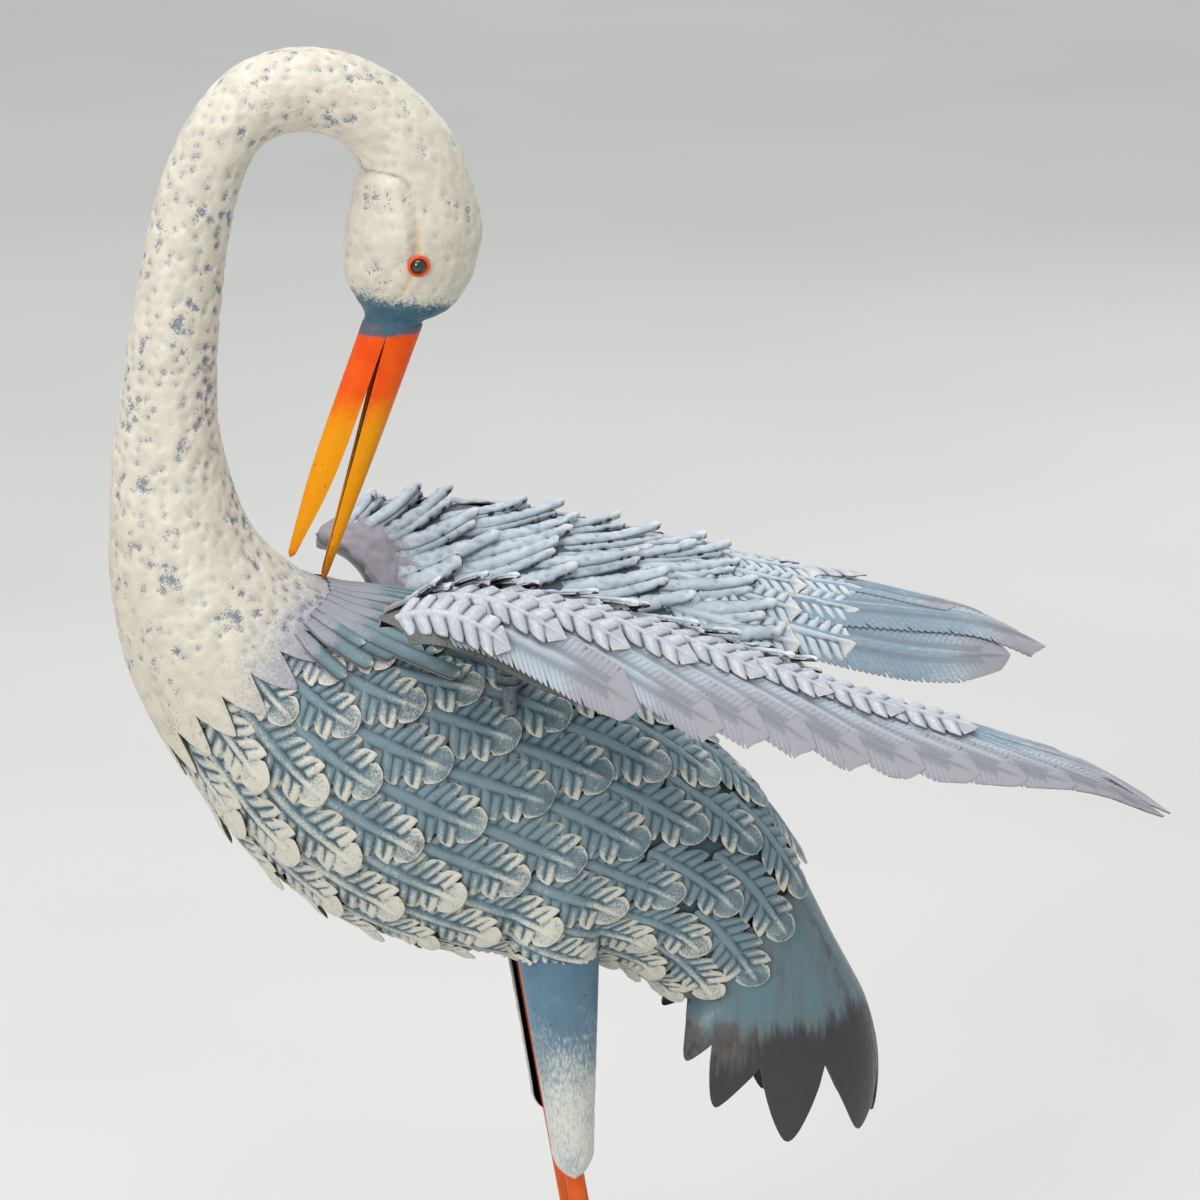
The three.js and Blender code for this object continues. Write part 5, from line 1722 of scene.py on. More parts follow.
@dataclass
class WingSurface:
    """Arched surface of the right wing along its crest line."""

    # X and, on the crest there, Y and Z; reach and drop to the inner and the outer edge.
    stations: tuple = (
        (-126, 86, 592, 14, 20, 10, 12), (-85, 95, 609, 40, 45, 25, 22), (-30, 100, 608, 52, 52, 34, 44),
        (45, 110, 590, 55, 50, 40, 53), (100, 122, 572, 55, 47, 39, 43), (170, 137, 549, 52, 46, 34, 34),
        (240, 149, 529, 49, 37, 30, 20), (300, 158, 509, 40, 20, 20, 8), (353, 165, 478, 4, 0, 4, 0),
    )
    arch_power: float = 1.9
    set_back: float = 22.0

    def __post_init__(self) -> None:
        """Splits the stations into their places and values."""
        table = np.array(self.stations, float)
        self.places, self.values = table[:, 0], table[:, 1:]

    def knots(self, x: Array) -> Array:
        """Crest and arch values at X.

        Args:
            x: places along the wing.

        Returns:
            One row of values for each place.
        """
        last = len(self.places) - 1
        i = np.clip(np.searchsorted(self.places, x, side="right"), 1, last)
        at = i - 1 + (x - self.places[i - 1]) / (self.places[i] - self.places[i - 1])
        return smooth(self.values, at)

    def bare(self, x: Array, across: Array) -> Array:
        """Points of the surface at X and a share across, inner negative.

        Args:
            x: places along the wing.
            across: share from the crest to an edge.

        Returns:
            The points.
        """
        y, z, inner, inner_drop, outer, outer_drop = np.moveaxis(self.knots(x), -1, 0)
        width = np.where(across > 0, outer, inner)
        drop = np.where(across > 0, outer_drop, inner_drop)
        return np.stack([x, y + across * width, z - drop * np.abs(across) ** self.arch_power], -1)

    def point(self, x: Array, across: Array, lift: Array | float) -> Array:
        """Points a lift off the surface.

        Args:
            x: places along the wing.
            across: share from the crest to an edge.
            lift: millimetres off the surface, outwards.

        Returns:
            The points.
        """
        x, across = np.broadcast_arrays(np.asarray(x, float), np.asarray(across, float))
        step = 1e-3
        down = self.bare(x + step, across) - self.bare(x - step, across)
        over = self.bare(x, across + step) - self.bare(x, across - step)
        normal = np.cross(down, over)
        normal /= np.linalg.norm(normal, axis=-1, keepdims=True)
        facing = normal[..., 1] * across + normal[..., 2]
        normal *= np.where(facing < 0, -1.0, 1.0)[..., None]
        return self.bare(x, across) + normal * np.asarray(lift)[..., None]

    def reach(self, x: Array, across: Array) -> Array:
        """Millimetres from the crest to an edge along the arch.

        Args:
            x: places along the wing.
            across: share from the crest to an edge.

        Returns:
            The distances.
        """
        values = self.knots(x)
        width = np.where(across > 0, values[..., 4], values[..., 2])
        drop = np.where(across > 0, values[..., 5], values[..., 3])
        return np.maximum(1.05 * np.hypot(width, drop), 8.0)

    def on_side(self, points: Array, side: Side) -> Array:
        """The right wing's points on the asked side; the left wing sits a little further back.

        Args:
            points: points of the right wing.
            side: the side asked for.

        Returns:
            The points on that side.
        """
        if side is Side.RIGHT:
            return points
        share = (self.places[-1] - points[..., 0]) / (self.places[-1] - self.places[0])
        moved = points * [1, -1, 1]
        moved[..., 0] += self.set_back * share
        return moved


@dataclass(frozen=True)
class Lane:
    """One feather's run on a wing: X and share across at its root and tip, its lifts and form."""

    root_x: float
    root_across: float
    tip_x: float
    tip_across: float
    root_lift: float
    tip_lift: float
    width: float = 1.0
    bow: float = 0.0
    roll: float = 0.0
    curl: float = 0.0


class LaneMaps(Enum):
    """How the paint runs along a lane of feathers."""

    QUILL = "quill"
    INNER_QUILL = "inner quill"
    NEAR_COVERT = "near covert"
    REAR_COVERT = "rear covert"
    FINGER = "finger"
    SHOULDER = "shoulder"

    def paint(self, f: Array) -> dict[Map, Array]:
        """Paint maps at shares f of the way from the root to the tip.

        Args:
            f: shares along the lane.

        Returns:
            Values of each map this kind of feather has.
        """
        flat = 0 * f
        return {
            LaneMaps.QUILL: {Map.WASH: 0.95 * rise(0.4, 0.95, f), Map.REGION: flat + 0.1,
                             Map.STAIN: 0.62 - 0.5 * rise(0.2, 0.6, f)},
            LaneMaps.INNER_QUILL: {Map.WASH: 0.85 * rise(0.5, 1.0, f),
                                   Map.STAIN: 0.6 - 0.3 * rise(0.5, 1.0, f)},
            LaneMaps.NEAR_COVERT: {Map.REGION: 0.15 + 0.4 * rise(0.6, 1.0, f), Map.STAIN: flat + 0.5},
            LaneMaps.REAR_COVERT: {Map.REGION: 0.1 + 0.95 * rise(0.76, 1.0, f)},
            LaneMaps.FINGER: {Map.REGION: 0.06 + 0.5 * rise(0.7, 1.0, f)},
            LaneMaps.SHOULDER: {Map.REGION: 0.06 + 0.5 * rise(0.7, 1.0, f),
                                Map.WASH: 0.9 - 0.9 * rise(0, 0.5, f)},
        }[self]


@dataclass
class Wing:
    """One wing: its plate, quills, coverts, shoulder and finger feathers."""

    surface: WingSurface
    side: Side
    hammer: HammeredRelief
    rows: TemplateRow
    paints: dict[str, bpy.types.Material]
    # X of each outer quill's tip, share across of its root, and its width.
    outer_quills: tuple = ((28, 0.52, 1.25), (78, 0.38, 1.0), (105, 0.28, 1.0), (133, 0.2, 1.0),
                           (165, 0.2, 1.0), (198, 0.2, 1.0), (231, 0.2, 1.0), (260, 0.2, 1.0),
                           (290, 0.2, 0.85), (321, 0.1, 0.7), (347, 0.1, 0.5))
    quill_run: float = 128.0
    # Root and tip of each inner quill, its width and its lift.
    inner_quills: tuple = ((178, 0.0, 318, -0.06, 1.15, 0.9), (176, -0.5, 351.8, -0.34, 1.35, 2.0),
                           (170, -0.72, 322, -1.0, 1.3, 1.2), (150, -0.6, 300, -0.62, 1.2, 0.2),
                           (120, -0.1, 222, -0.12, 0.9, 0.4), (150, -0.08, 255, -0.13, 0.9, 1.2),
                           (185, -0.1, 290, -0.16, 0.9, 2.0))
    # X and share across of each near covert's tip.
    covert_tips: tuple = ((-48, 0.82), (-14, 0.58), (24, 0.49), (65, 0.43), (105, 0.36), (145, 0.3),
                          (188, 0.24), (232, 0.2))
    covert_run: float = 78.0
    # Lifts of each row of rear coverts, and each covert's root and tip.
    rear_rows: tuple = (
        ((2.0, 4.4), ((112, -0.1, 200, -0.08), (104, -0.3, 187, -0.34), (98, -0.5, 181, -0.62),
                      (92, -0.78, 178, -0.88))),
        ((0.8, 2.6), ((146, -0.2, 226, -0.2), (140, -0.42, 221, -0.52), (134, -0.68, 216, -0.84))),
    )
    shoulder_fingers: tuple = ((-113, -0.26, -84, 0.06), (-101, -0.4, -58, 0.05), (-91, -0.52, -40, 0.02),
                               (-85, -0.64, -26, -0.28), (-82, -0.78, -14, -0.47),
                               (-80, -0.92, -38, -0.7))
    finger_rows: tuple = (
        ((-54, -0.3, 6, -0.02), (-44, -0.42, 30, 0.05), (-38, -0.54, 38, -0.12), (-44, -0.66, 33, -0.28),
         (-50, -0.78, 24, -0.42), (-46, -0.92, 34, -0.62)),
        ((-4, -0.32, 66, 0.05), (12, -0.42, 90, -0.04), (32, -0.5, 112, -0.18), (0, -0.64, 74, -0.4),
         (14, -0.79, 92, -0.52), (22, -0.92, 108, -0.68)),
        ((48, -0.3, 122, 0.03), (60, -0.4, 136, -0.08), (66, -0.52, 142, -0.24), (74, -0.65, 151, -0.42),
         (84, -0.8, 162, -0.6), (88, -0.94, 163, -0.82)),
    )
    nose_x: float = -123.0
    nose_slant: tuple = (32.0, 16.0)
    # Lift of the plate behind and how far it rises at the front.
    plate_lift: tuple = (-4.8, 7.6)
    finger_lifts: tuple = (-0.9, 4.8)
    shoulder_lifts: tuple = (1.6, 6.4)
    # How far past an edge, as a share across, a feather may reach.
    quill_overhang: float = -1.22
    bolt_at: tuple = (-22.0, 57.0)
    # Height and radius along the bolt, and the heights between which it is a nut.
    bolt_profile: tuple = ((525, 4.0), (525, 4.5), (542.6, 4.5), (543, 8.5), (544.2, 8.8), (544.6, 8.5),
                           (544.7, 7.2), (549.6, 7.2), (550, 6.4), (550.1, 4.5), (556.4, 4.5), (557, 4.0))
    nut: tuple = (544.7, 549.6, 550)
    # How far the in-between fingers' roots and tips sit back.
    between_back: tuple = (6, 0, 8, 0)
    covert: FeatherTemplate = FeatherTemplate(
        length=76, half_width=10.5, tip_length=12, tip_share=0.72, tip_power=1.15, lobes=9,
        notch=0.26, deep_notch=0.34, deep_every=2, slant=0.7, rib_height=1.6, rib_half=2.2,
        lobe_rib=1.3, ribs_per_lobe=1, rib_span=(0.16, 1.0), valley=0.46, droop=0.9, shoulder=0.84,
        lobe_rows=((0.14, 0.9), (0.28, 0.99), (0.5, 1.0), (0.72, 0.96), (0.86, 0.88)))
    side_covert: FeatherTemplate = FeatherTemplate(
        length=76, half_width=11.5, tip_length=13, tip_share=0.66, tip_power=1.2, lobes=6,
        notch=0.34, deep_notch=0.44, deep_every=2, slant=0.6, rib_height=1.5, rib_half=2.0,
        lobe_rib=1.8, ribs_per_lobe=1, rib_span=(0.1, 1.0), valley=0.4, droop=1.0, shoulder=0.84,
        lobe_rows=((0.08, 0.82), (0.2, 0.97), (0.5, 1.0), (0.8, 0.96), (0.93, 0.84)))
    quill: FeatherTemplate = FeatherTemplate(
        length=132, half_width=12.0, tip_length=20, tip_share=0.92, tip_power=1.25, lobes=32,
        notch=0.09, deep_notch=0.24, deep_every=6, slant=0.8, rib_height=1.5, rib_half=1.6,
        lobe_rib=0.65, ribs_per_lobe=1, rib_span=(0.45, 1.0), valley=0.29, droop=0.5, shoulder=0.97,
        fade=12.0,
        lobe_rows=((0.3, 1.0), (0.75, 0.98)))
    finger: FingerTemplate = FingerTemplate()

    def name(self, part: str) -> str:
        """A piece's name on this side."""
        return f"{self.side.word}_wing_{part}"

    def node(self, part: str) -> str:
        """A CAD node's name on this side."""
        return f"wing_{self.side.word}_{part}"

    def sheet(self, x: Array, across: Array, lift: Array | float, thickness: Array | float,
              maps: dict[Map, Array]) -> MeshData:
        """Closed sheet on the wing from grids of X, share across and lift.

        Args:
            x: places along the wing.
            across: share from the crest to an edge.
            lift: of the inner face off the wing's surface.
            thickness: of the sheet.
            maps: its paint maps.

        Returns:
            The closed sheet on this side.
        """
        outer, inner = (self.surface.on_side(self.surface.point(x, across, level), self.side)
                        for level in (lift + thickness, lift))
        return MeshData.sheet(outer, inner, maps)

    def pressed(self, part: str, paint: str, data: MeshData, cell: float, depth: float) -> bpy.types.Object:
        """Makes a part's object and presses hammer dimples into it.

        Args:
            part: the part's name.
            paint: the finish's key.
            data: its mesh.
            cell: distance between dimples.
            depth: how deep they reach.

        Returns:
            The hammered piece.
        """
        piece = data.to_object(self.name(part), self.paints[paint])
        self.hammer.press(piece, cell, depth)
        return piece

    def nose(self, share: Array) -> Array:
        """X of the wing's front edge, which slants back towards its inner and outer edges.

        Args:
            share: shares across.

        Returns:
            X at each share.
        """
        inner, outer = self.nose_slant
        return self.nose_x + inner * rise(-0.2, -1.1, share) + outer * rise(0.1, 1.0, share)

    def plate(self) -> None:
        """Smooth plate under all the feathers, rolled at its edges, painted dark olive as shade with a
        greenish painted reflection.
        """
        f, share = grid(90, 60, -0.93, 1.0)
        x = lerp(self.nose(share) + 1.5, 205.0, f)
        across = share * (1 - 0.2 * (share > 0) * rise(-15.0, 45.0, x))
        edge = np.maximum(rise(0.95, 1.0, share), rise(0.98, 1.0, f))
        low, climb = self.plate_lift
        lift = low + climb * rise(46.0, 4.0, x - self.nose(share))
        data = self.sheet(x, across, lift, 1.2, {Map.EDGE: edge, Map.HAMMER: 1 - edge})
        hand_over(self.pressed("plate", "plate", data, 12.0, 0.6), "wing_lilac", self.node("plate"))

    def lay(self, part: str, template: FeatherTemplate | FingerTemplate, lanes: Sequence[Lane],
            seed: int, paint: str, maps: LaneMaps, outer: int = 0) -> bpy.types.Object:
        """Lays copies of a flat feather in lanes on the wing.

        Args:
            part: the part's name.
            template: the flat feather.
            lanes: where each copy runs.
            seed: for the tones.
            paint: the finish's key.
            maps: how the paint runs along a lane.
            outer: from which lane on the quills are the inner ones, zero for none.

        Returns:
            The piece.
        """
        source = template.build("flat_" + part)
        piece, copy, flat = self.rows.make(self.name(part), source, len(lanes), seed, self.paints[paint])
        drop_template(source)
        table = np.array([astuple(lane) for lane in lanes])
        x0, a0, x1, a1, low, high, wide, bow, roll, curl = table[copy].T
        sideways, back, height = flat.T
        f = 1 - back / template.length
        turned = (1 - bow) * f + bow * f * np.abs(f)
        x = lerp(x0, x1, f)
        across = lerp(a0, a1, turned)
        reach = self.surface.reach(x, across)
        slope = (a1 - a0) * (1 - bow + 2 * bow * np.abs(f)) * reach / (x1 - x0)
        cosine = 1 / np.sqrt(1 + slope ** 2)
        x = np.minimum(x - sideways * wide * slope * cosine, self.surface.places[-1])
        inner_limit = self.quill_overhang if outer else -1.0
        across = np.clip(across + sideways * wide * cosine / reach, inner_limit, 1.0)
        lift = lerp(low, high, np.clip(f, 0, 1.1)) + curl * (np.clip(f - 0.55, 0, 1) / 0.45) ** 2
        points = self.surface.point(x, across, lift - roll * sideways + height)
        inner = LaneMaps.INNER_QUILL.paint(f) if outer else {}
        for paint_map, values in maps.paint(f).items():
            if paint_map in inner:
                values = np.where(copy >= outer, inner[paint_map], values)
            write_map(piece.data, paint_map, values)
        bend(piece, self.surface.on_side(points, self.side))
        return piece

    def quills(self) -> None:
        """Long quills, light blue at the crest and lilac grey at their tips."""
        lanes = [Lane(max(x - self.quill_run, -100 + 2 * k), across, x, 0.88, 0.5, 0.6, wide, 0.1, 0.09)
                 for k, (x, across, wide) in enumerate(self.outer_quills)]
        lanes += [Lane(*run, lift, lift + 0.4, wide, roll=0.05) for *run, wide, lift in self.inner_quills]
        piece = self.lay("quills", self.quill, lanes, 71, "quill", LaneMaps.QUILL, len(self.outer_quills))
        hand_over(piece, "wing_lilac", self.node("quills"))

    def side_coverts(self) -> None:
        """Ribbed coverts on the outer side, shingled back from the shoulder."""
        near = self.side is Side.LEFT
        lanes = []
        for k, (x, across) in enumerate(self.covert_tips):
            start, low = (0.06, 2.6 if near else 0.4) if k else (0.36, 3.4)
            lanes.append(Lane(max(x - self.covert_run, -112.0), start, x, across, low, 6.4, 1.05,
                              roll=0.1 if near else 0.02))
        piece = self.lay("side_coverts", self.side_covert, lanes, 72, "covert", LaneMaps.NEAR_COVERT)
        hand_over(piece, "wing_pale_blue", self.node("side_coverts"))

    def rear_coverts(self) -> None:
        """Ribbed coverts with cream points over the roots of the end quills."""
        lanes = [Lane(*run, *lifts, 1.15) for lifts, runs in self.rear_rows for run in runs]
        piece = self.lay("rear_coverts", self.covert, lanes, 73, "rear", LaneMaps.REAR_COVERT)
        hand_over(piece, "wing_pale_blue", self.node("rear_coverts"))

    def finger_bed(self) -> None:
        """Sheet that the finger feathers are raised from, painted dark as the shade in the gaps between
        them.
        """
        f, share = grid(60, 30, -0.97, -0.02)
        x = lerp(self.nose(share) + 14.0, 134.0, f)
        # Its low ridge value paints the bed in painted shade.
        data = self.sheet(x, share, 0.4, 0.8, {Map.RIDGE: 0.14, Map.HAMMER: 1.0})
        hand_over(self.pressed("finger_bed", "finger", data, 6.0, 0.6), "wing_pale_blue")

    def finger_set(self, part: str, runs: tuple, lifts: tuple, width: float, seed: int,
                   maps: LaneMaps) -> bpy.types.Object:
        """One row of finger feathers that climb to the crest.

        Args:
            part: the part's name.
            runs: root and tip of each finger.
            lifts: lift of the roots and the tips.
            width: width against the template's.
            seed: for the tones.
            maps: how the paint runs along them.

        Returns:
            The hammered piece.
        """
        low, high = lifts
        lanes = [Lane(*run, low + 0.5 * (k % 2), high + 0.9 * (k % 2), width, 0.7,
                      curl=5.4 if run[3] > -0.2 else 1.8) for k, run in enumerate(runs)]
        for run, following in zip(runs, runs[1:]):
            between = (np.add(run, following) / 2 - self.between_back).tolist()
            lanes.append(Lane(*between, low - 1.2, high - 2.2, width * 0.92, 0.7, curl=2.0))
        piece = self.lay(part, self.finger, lanes, seed, "finger", maps)
        self.hammer.press(piece, cell=5.0, depth=2.5, crease=60.0)
        return piece

    def fingers(self) -> None:
        """Three rows of finger feathers."""
        for row, runs in enumerate(self.finger_rows):
            part = f"fingers_{row + 1}"
            piece = self.finger_set(part, runs, self.finger_lifts, 1.0, 80 + row, LaneMaps.FINGER)
            hand_over(piece, "wing_pale_blue", self.node(part))

    def shoulder(self) -> None:
        """Hammered shoulder, rolled in at the front, and the finger feathers cut from it."""
        f, share = grid(40, 36, -0.98, 0.04)
        front_x = self.nose(share) - 0.5
        x = lerp(front_x, -72 - 28 * rise(-0.7, 0.1, share), f)
        front = 1 - np.clip((x - front_x) / 9.0, 0, 1)
        thicker = rise(0.1, 0.4, f)
        lift = 5.2 - 7.5 * front ** 2 - 2.4 * rise(0.75, 1.0, f) - thicker
        edge = np.maximum(1 - rise(0.0, 0.04, f), rise(0.97, 1.0, np.abs(2 * share + 0.94)))
        maps = {Map.WASH: 1.0 - 0.5 * rise(0.6, 1.0, f), Map.HAMMER: 1 - edge, Map.RIDGE: 0.5,
                Map.EDGE: 0.5 * edge}
        data = self.sheet(x, share, lift, 1.6 + thicker, maps)
        piece = self.pressed("shoulder", "finger", data, 7.0, 3.4)
        hand_over(piece, "wing_pale_blue", self.node("shoulder"))
        fingers = self.finger_set("shoulder_fingers", self.shoulder_fingers, self.shoulder_lifts, 1.1, 79,
                                  LaneMaps.SHOULDER)
        hand_over(fingers, "wing_pale_blue")

    def bolt(self) -> None:
        """Bolt with its nut and washer, from the plate down to the body."""
        turn = full_turn(36)
        hexagon = np.cos(np.pi / 6) / np.cos((turn % (np.pi / 3)) - np.pi / 6) * 1.05
        x, y = self.bolt_at
        rings = [ring(x, self.side.value * y, z, radius * (hexagon if z in self.nut else 1.0), turn)
                 for z, radius in self.bolt_profile]
        piece = MeshData.loft(np.array(rings), {}).to_object(self.name("bolt"), self.paints["bolt"], 30.0)
        hand_over(piece, "bolt_steel", f"wing_bolt_{self.side.word}")

    def dress(self) -> None:
        """Makes and registers every part of this wing."""
        self.plate()
        self.quills()
        self.side_coverts()
        self.rear_coverts()
        self.finger_bed()
        self.shoulder()
        self.fingers()
        self.bolt()


@dataclass
class Legs:
    """Thigh shells, rods and feet of both legs."""

    shape: ThighShape
    thigh_start: float = 392.0
    wrap: float = 100.0
    sheet: float = 1.6
    stance: float = 51.0
    rod_top: tuple = (-1.5, 336.0)
    knee: tuple = (35.0, 118.0)
    foot: tuple = (16.0, 22.0)
    rod_radius: float = 6.0
    sole: float = 6.3
    # Height and radius up the hub, and each toe's heading in degrees and length.
    hub: tuple = ((6.3, 9.0), (9, 9.4), (16, 8.6), (20.5, 7.4), (21.7, 6.4))
    toes: tuple = ((180, 78), (148, 70), (212, 70), (0, 34))

    def thigh(self) -> MeshData:
        """Tapering half shell with a round lower end, its top tucked under the feathers.

        Returns:
            The right thigh's shell.
        """
        turn = np.radians(np.linspace(-self.wrap, self.wrap, 41))[None, :]
        low, end = self.shape.low[1], self.shape.end
        z = np.concatenate([np.linspace(self.thigh_start, low, 62),
                            low - (low - end) * np.sin(np.linspace(0.08, np.pi / 2, 14))])[:, None]
        middle, half, depth, face = self.shape.level(z)
        closing = np.sqrt(np.clip(1 - np.clip((low - z) / (low - end), 0, 1) ** 2, 0.02, 1))
        faces = []
        for inset in (0.0, self.sheet):
            x = middle + (half * closing - inset * closing) * np.sin(turn)
            y = face - depth + (depth * lerp(1.0, closing, 0.35) - inset) * np.cos(turn)
            faces.append(np.stack(np.broadcast_arrays(x, y, z), -1))
        rim = rise(0.96, 1.0, np.abs(turn) / turn.max())
        maps = {Map.REGION: 0.2 + 0.58 * rise(376, 262, z), Map.STAIN: rise(352, 262, z),
                Map.EDGE: np.maximum(rim, rise(end + 1.5, end, z)),
                Map.HAMMER: rise(end, end + 10, z) * rise(335, 290, z)}
        return MeshData.sheet(faces[0], faces[1], maps)

    def rod(self) -> MeshData:
        """Round rod from inside the thigh to the foot, swelling at the knee.

        Returns:
            The right leg's rod.
        """
        top, knee, foot = (np.array(p) for p in (self.rod_top, self.knee, self.foot))
        upper = np.linspace(0, 1, 60)[:, None]
        lower = np.linspace(0, 1, 40)[1:, None]
        path = np.concatenate([lerp(top, knee, upper), lerp(knee, foot, lower)])
        ease = np.array([0.25, 0.5, 0.25])
        for _ in range(6):
            path[1:-1] = sum(w * path[k:len(path) - 2 + k] for k, w in enumerate(ease))
        away = np.linalg.norm(path - knee, axis=1)
        radius = self.rod_radius + 2.8 * bell(away, 8.0) + 0.5 * rise(60, 30, path[:, 1])
        rings = ring(path[:, :1], self.stance, path[:, 1:], radius[:, None], full_turn(40))
        return MeshData.loft(rings, {Map.WASH: 0.22 + 0.3 * bell(away, 12.0)[:, None]})

    def toe(self, heading: float, length: float) -> MeshData:
        """One toe: a rounded bar on the base that narrows to a low tip.

        Args:
            heading: its direction in radians.
            length: from the hub's middle.

        Returns:
            The closed toe.
        """
        f = np.linspace(0, 1, 30)
        tip = round_end(f, 0.93, 0.08)
        radius = lerp(5.0, 3.0, f) * tip
        height = lerp(9.5, 3.8, f ** 0.8) * tip
        turn = np.linspace(0, np.pi, 15)
        side = np.concatenate([np.cos(turn), np.linspace(-0.96, 0.96, 6)]) * radius[:, None]
        high = np.concatenate([np.sin(turn) ** 0.8, np.zeros(6)]) * height[:, None]
        ahead = f[:, None] * length
        x = self.foot[0] + ahead * math.cos(heading) - side * math.sin(heading)
        y = self.stance + ahead * math.sin(heading) + side * math.cos(heading)
        return MeshData.loft(np.stack([x, y, self.sole + high], -1), {Map.WASH: 0.25})

    def foot_data(self) -> MeshData:
        """Hub and four toes.

        Returns:
            The right foot.
        """
        turn = full_turn(36)
        hub = [ring(self.foot[0], self.stance, z, radius, turn) for z, radius in self.hub]
        toes = [self.toe(math.radians(degrees), length) for degrees, length in self.toes]
        return MeshData.together([MeshData.loft(np.array(hub), {}), *toes])

    def dress(self, hammer: HammeredRelief) -> None:
        """Makes and registers both legs.

        Args:
            hammer: presses the dents of the thighs.
        """
        thigh_paint, rod_paint = THIGH_PAINT.material(), ROD_PAINT.material()
        for side in Side:
            parts = [self.thigh(), self.rod(), self.foot_data()]
            if side is Side.LEFT:
                parts = [p.mirrored() for p in parts]
            thigh = parts[0].to_object(f"thigh_shell_{side.word}", thigh_paint)
            hammer.press(thigh, cell=8.0, depth=0.8)
            hand_over(thigh, "thigh_blue_grey", f"thigh_{side.word}")
            rod = parts[1].to_object(f"leg_rod_{side.word}", rod_paint)
            hand_over(rod, "leg_orange", f"leg_{side.word}")
            foot = parts[2].to_object(f"toes_{side.word}", rod_paint, 50.0)
            hand_over(foot, "leg_orange", f"foot_{side.word}")


@dataclass
class BasePlate:
    """Flat steel base with round corners and a softened edge."""

    length: float = 300.0
    width: float = 200.0
    thickness: float = 6.0
    corner: float = 60.0
    soft: float = 1.2
    top_rings: tuple = (20.0, 40.0)

    def outline(self, inset: float) -> Array:
        """Outline of the plate, drawn in by an inset.

        Args:
            inset: how far.

        Returns:
            Points round the outline in X and Y.
        """
        points = []
        for k, (sx, sy) in enumerate(((1, 1), (-1, 1), (-1, -1), (1, -1))):
            turn = np.radians(np.linspace(0, 90, 16) + 90 * k)
            radius = self.corner - inset
            points.append(np.stack([sx * (self.length / 2 - self.corner) + radius * np.cos(turn),
                                    sy * (self.width / 2 - self.corner) + radius * np.sin(turn)], -1))
        return np.concatenate(points)

    def dress(self) -> None:
        """Makes and registers the base."""
        turn = np.linspace(0, np.pi / 2, 5)
        levels = [(self.soft * (1 - math.sin(t)), self.soft * (1 - math.cos(t))) for t in turn]
        stops = levels + [(inset, self.thickness - z) for inset, z in reversed(levels)]
        stops += [(inset, self.thickness) for inset in self.top_rings]
        rings = [np.concatenate([self.outline(inset), np.full((64, 1), z)], 1) for inset, z in stops]
        edge = np.array([[float(inset < 1.0)] for inset, _ in stops])
        piece = MeshData.loft(np.array(rings), {Map.EDGE: edge}).to_object("base", BASE_PAINT.material())
        hand_over(piece, "base_blue_grey", "base_plate")


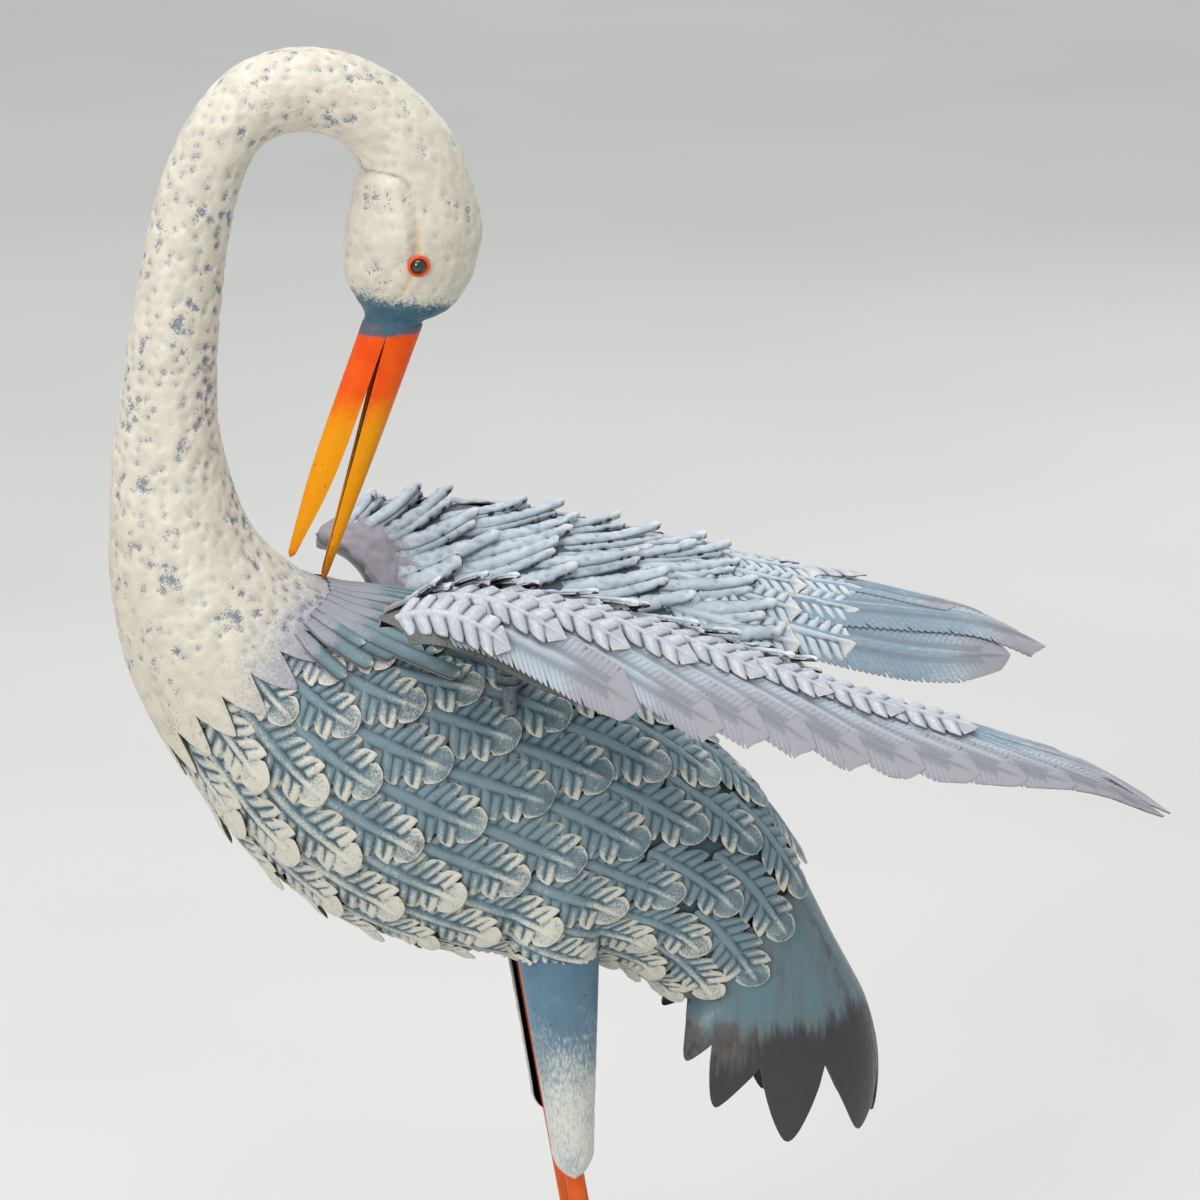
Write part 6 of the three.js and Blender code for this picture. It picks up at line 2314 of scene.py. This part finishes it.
@dataclass
class Studio:
    """Plain pale floor, soft lights and the camera at the photograph's angle."""

    azimuth: float = -8.0
    elevation: float = 17.0
    distance: float = 3.0
    target: tuple = (0.04, 0.0, 0.575)
    lens: float = 150.0
    sensor: float = 36.0
    floor_reach: float = 30.0
    floor_tones: tuple[Colour, Colour] = ((214, 213, 208), (221, 220, 216))
    sky: tuple = (0.94, 0.97, 1.0, 1.0)
    sky_strength: float = 0.72
    # Name, place, size, power and aim of each light.
    lights: tuple = (("overhead", (-0.5, -0.4, 2.9), 2.0, 40.0, (0.0, 0.0, 0.5)),
                     ("front", (-1.9, -2.6, 1.9), 1.2, 38.0, (0.0, 0.0, 0.55)),
                     ("behind", (1.6, 2.4, 1.8), 1.6, 12.0, (0.0, 0.0, 0.5)))

    def camera(self) -> None:
        """Makes the scene's camera."""
        az, el = math.radians(self.azimuth), math.radians(self.elevation)
        away = Vector((math.sin(az) * math.cos(el), -math.cos(az) * math.cos(el), math.sin(el)))
        data = bpy.data.cameras.new("camera")
        data.lens = self.lens
        data.sensor_width = self.sensor
        data.dof.use_dof = False
        camera = add_object("camera", data)
        camera.location = Vector(self.target) + away * self.distance
        camera.rotation_euler = away.to_track_quat("Z", "Y").to_euler()
        bpy.context.scene.camera = camera

    def light(self, name: str, place: tuple, size: float, power: float, aim: tuple) -> None:
        """Adds one soft square light.

        Args:
            name: its name.
            place: where it stands, in metres.
            size: its edge in metres.
            power: in watts.
            aim: the point it faces.
        """
        data = bpy.data.lights.new(name, "AREA")
        data.size = size
        data.energy = power
        lamp = add_object(name, data)
        lamp.location = place
        toward = Vector(place) - Vector(aim)
        lamp.rotation_euler = toward.to_track_quat("Z", "Y").to_euler()

    def floor(self) -> None:
        """Adds the pale floor."""
        mesh = bpy.data.meshes.new("floor")
        reach = self.floor_reach
        corners = [(-reach, -reach, 0), (reach, -reach, 0), (reach, reach, 0), (-reach, reach, 0)]
        mesh.from_pydata(corners, [], [(0, 1, 2, 3)])
        shade = Shade("floor")
        tone = shade.noise(900.0, 2.0)
        colour = shade.mix(shade.window(tone, 0.2, 0.8), *self.floor_tones)
        shade.fill(shade.surface, Base_Color=colour, Roughness=0.8)
        mesh.materials.append(shade.material)
        add_object("floor", mesh)

    def dress(self) -> None:
        """Sets the whole studio up."""
        self.camera()
        self.floor()
        for light in self.lights:
            self.light(*light)
        world = bpy.data.worlds.new("studio")
        world.use_nodes = True
        sky = NodeTree(world.node_tree)
        sky.fill(sky.tree.nodes["Background"], Color=self.sky, Strength=self.sky_strength)
        bpy.context.scene.world = world
        bpy.context.scene.view_settings.view_transform = "Standard"


def main() -> None:
    """Builds the studio and every piece of the egret in order."""
    logging.basicConfig(level=logging.INFO, format="%(message)s")
    Studio().dress()
    trunk = Trunk()
    hammer = HammeredRelief()
    rows = TemplateRow()
    NeckAndBreast(trunk).dress(hammer)
    thigh = ThighShape()
    BodyFeathers(trunk, thigh).dress(rows)
    Scapulars(trunk).dress()
    Beak().dress()
    Eyes(trunk).dress()
    TailFan(trunk).dress()
    finishes = {"plate": WING_PLATE_SHADE, "quill": WING_LILAC, "covert": COVERT_LILAC,
                "rear": WING_PALE, "finger": WING_PALE, "bolt": STEEL_PAINT}
    paints = {key: finish.material() for key, finish in finishes.items()}
    surface = WingSurface()
    for side in Side:
        Wing(surface, side, hammer, rows, paints).dress()
    Legs(thigh).dress(hammer)
    BasePlate().dress()


if __name__ == "__main__":
    main()
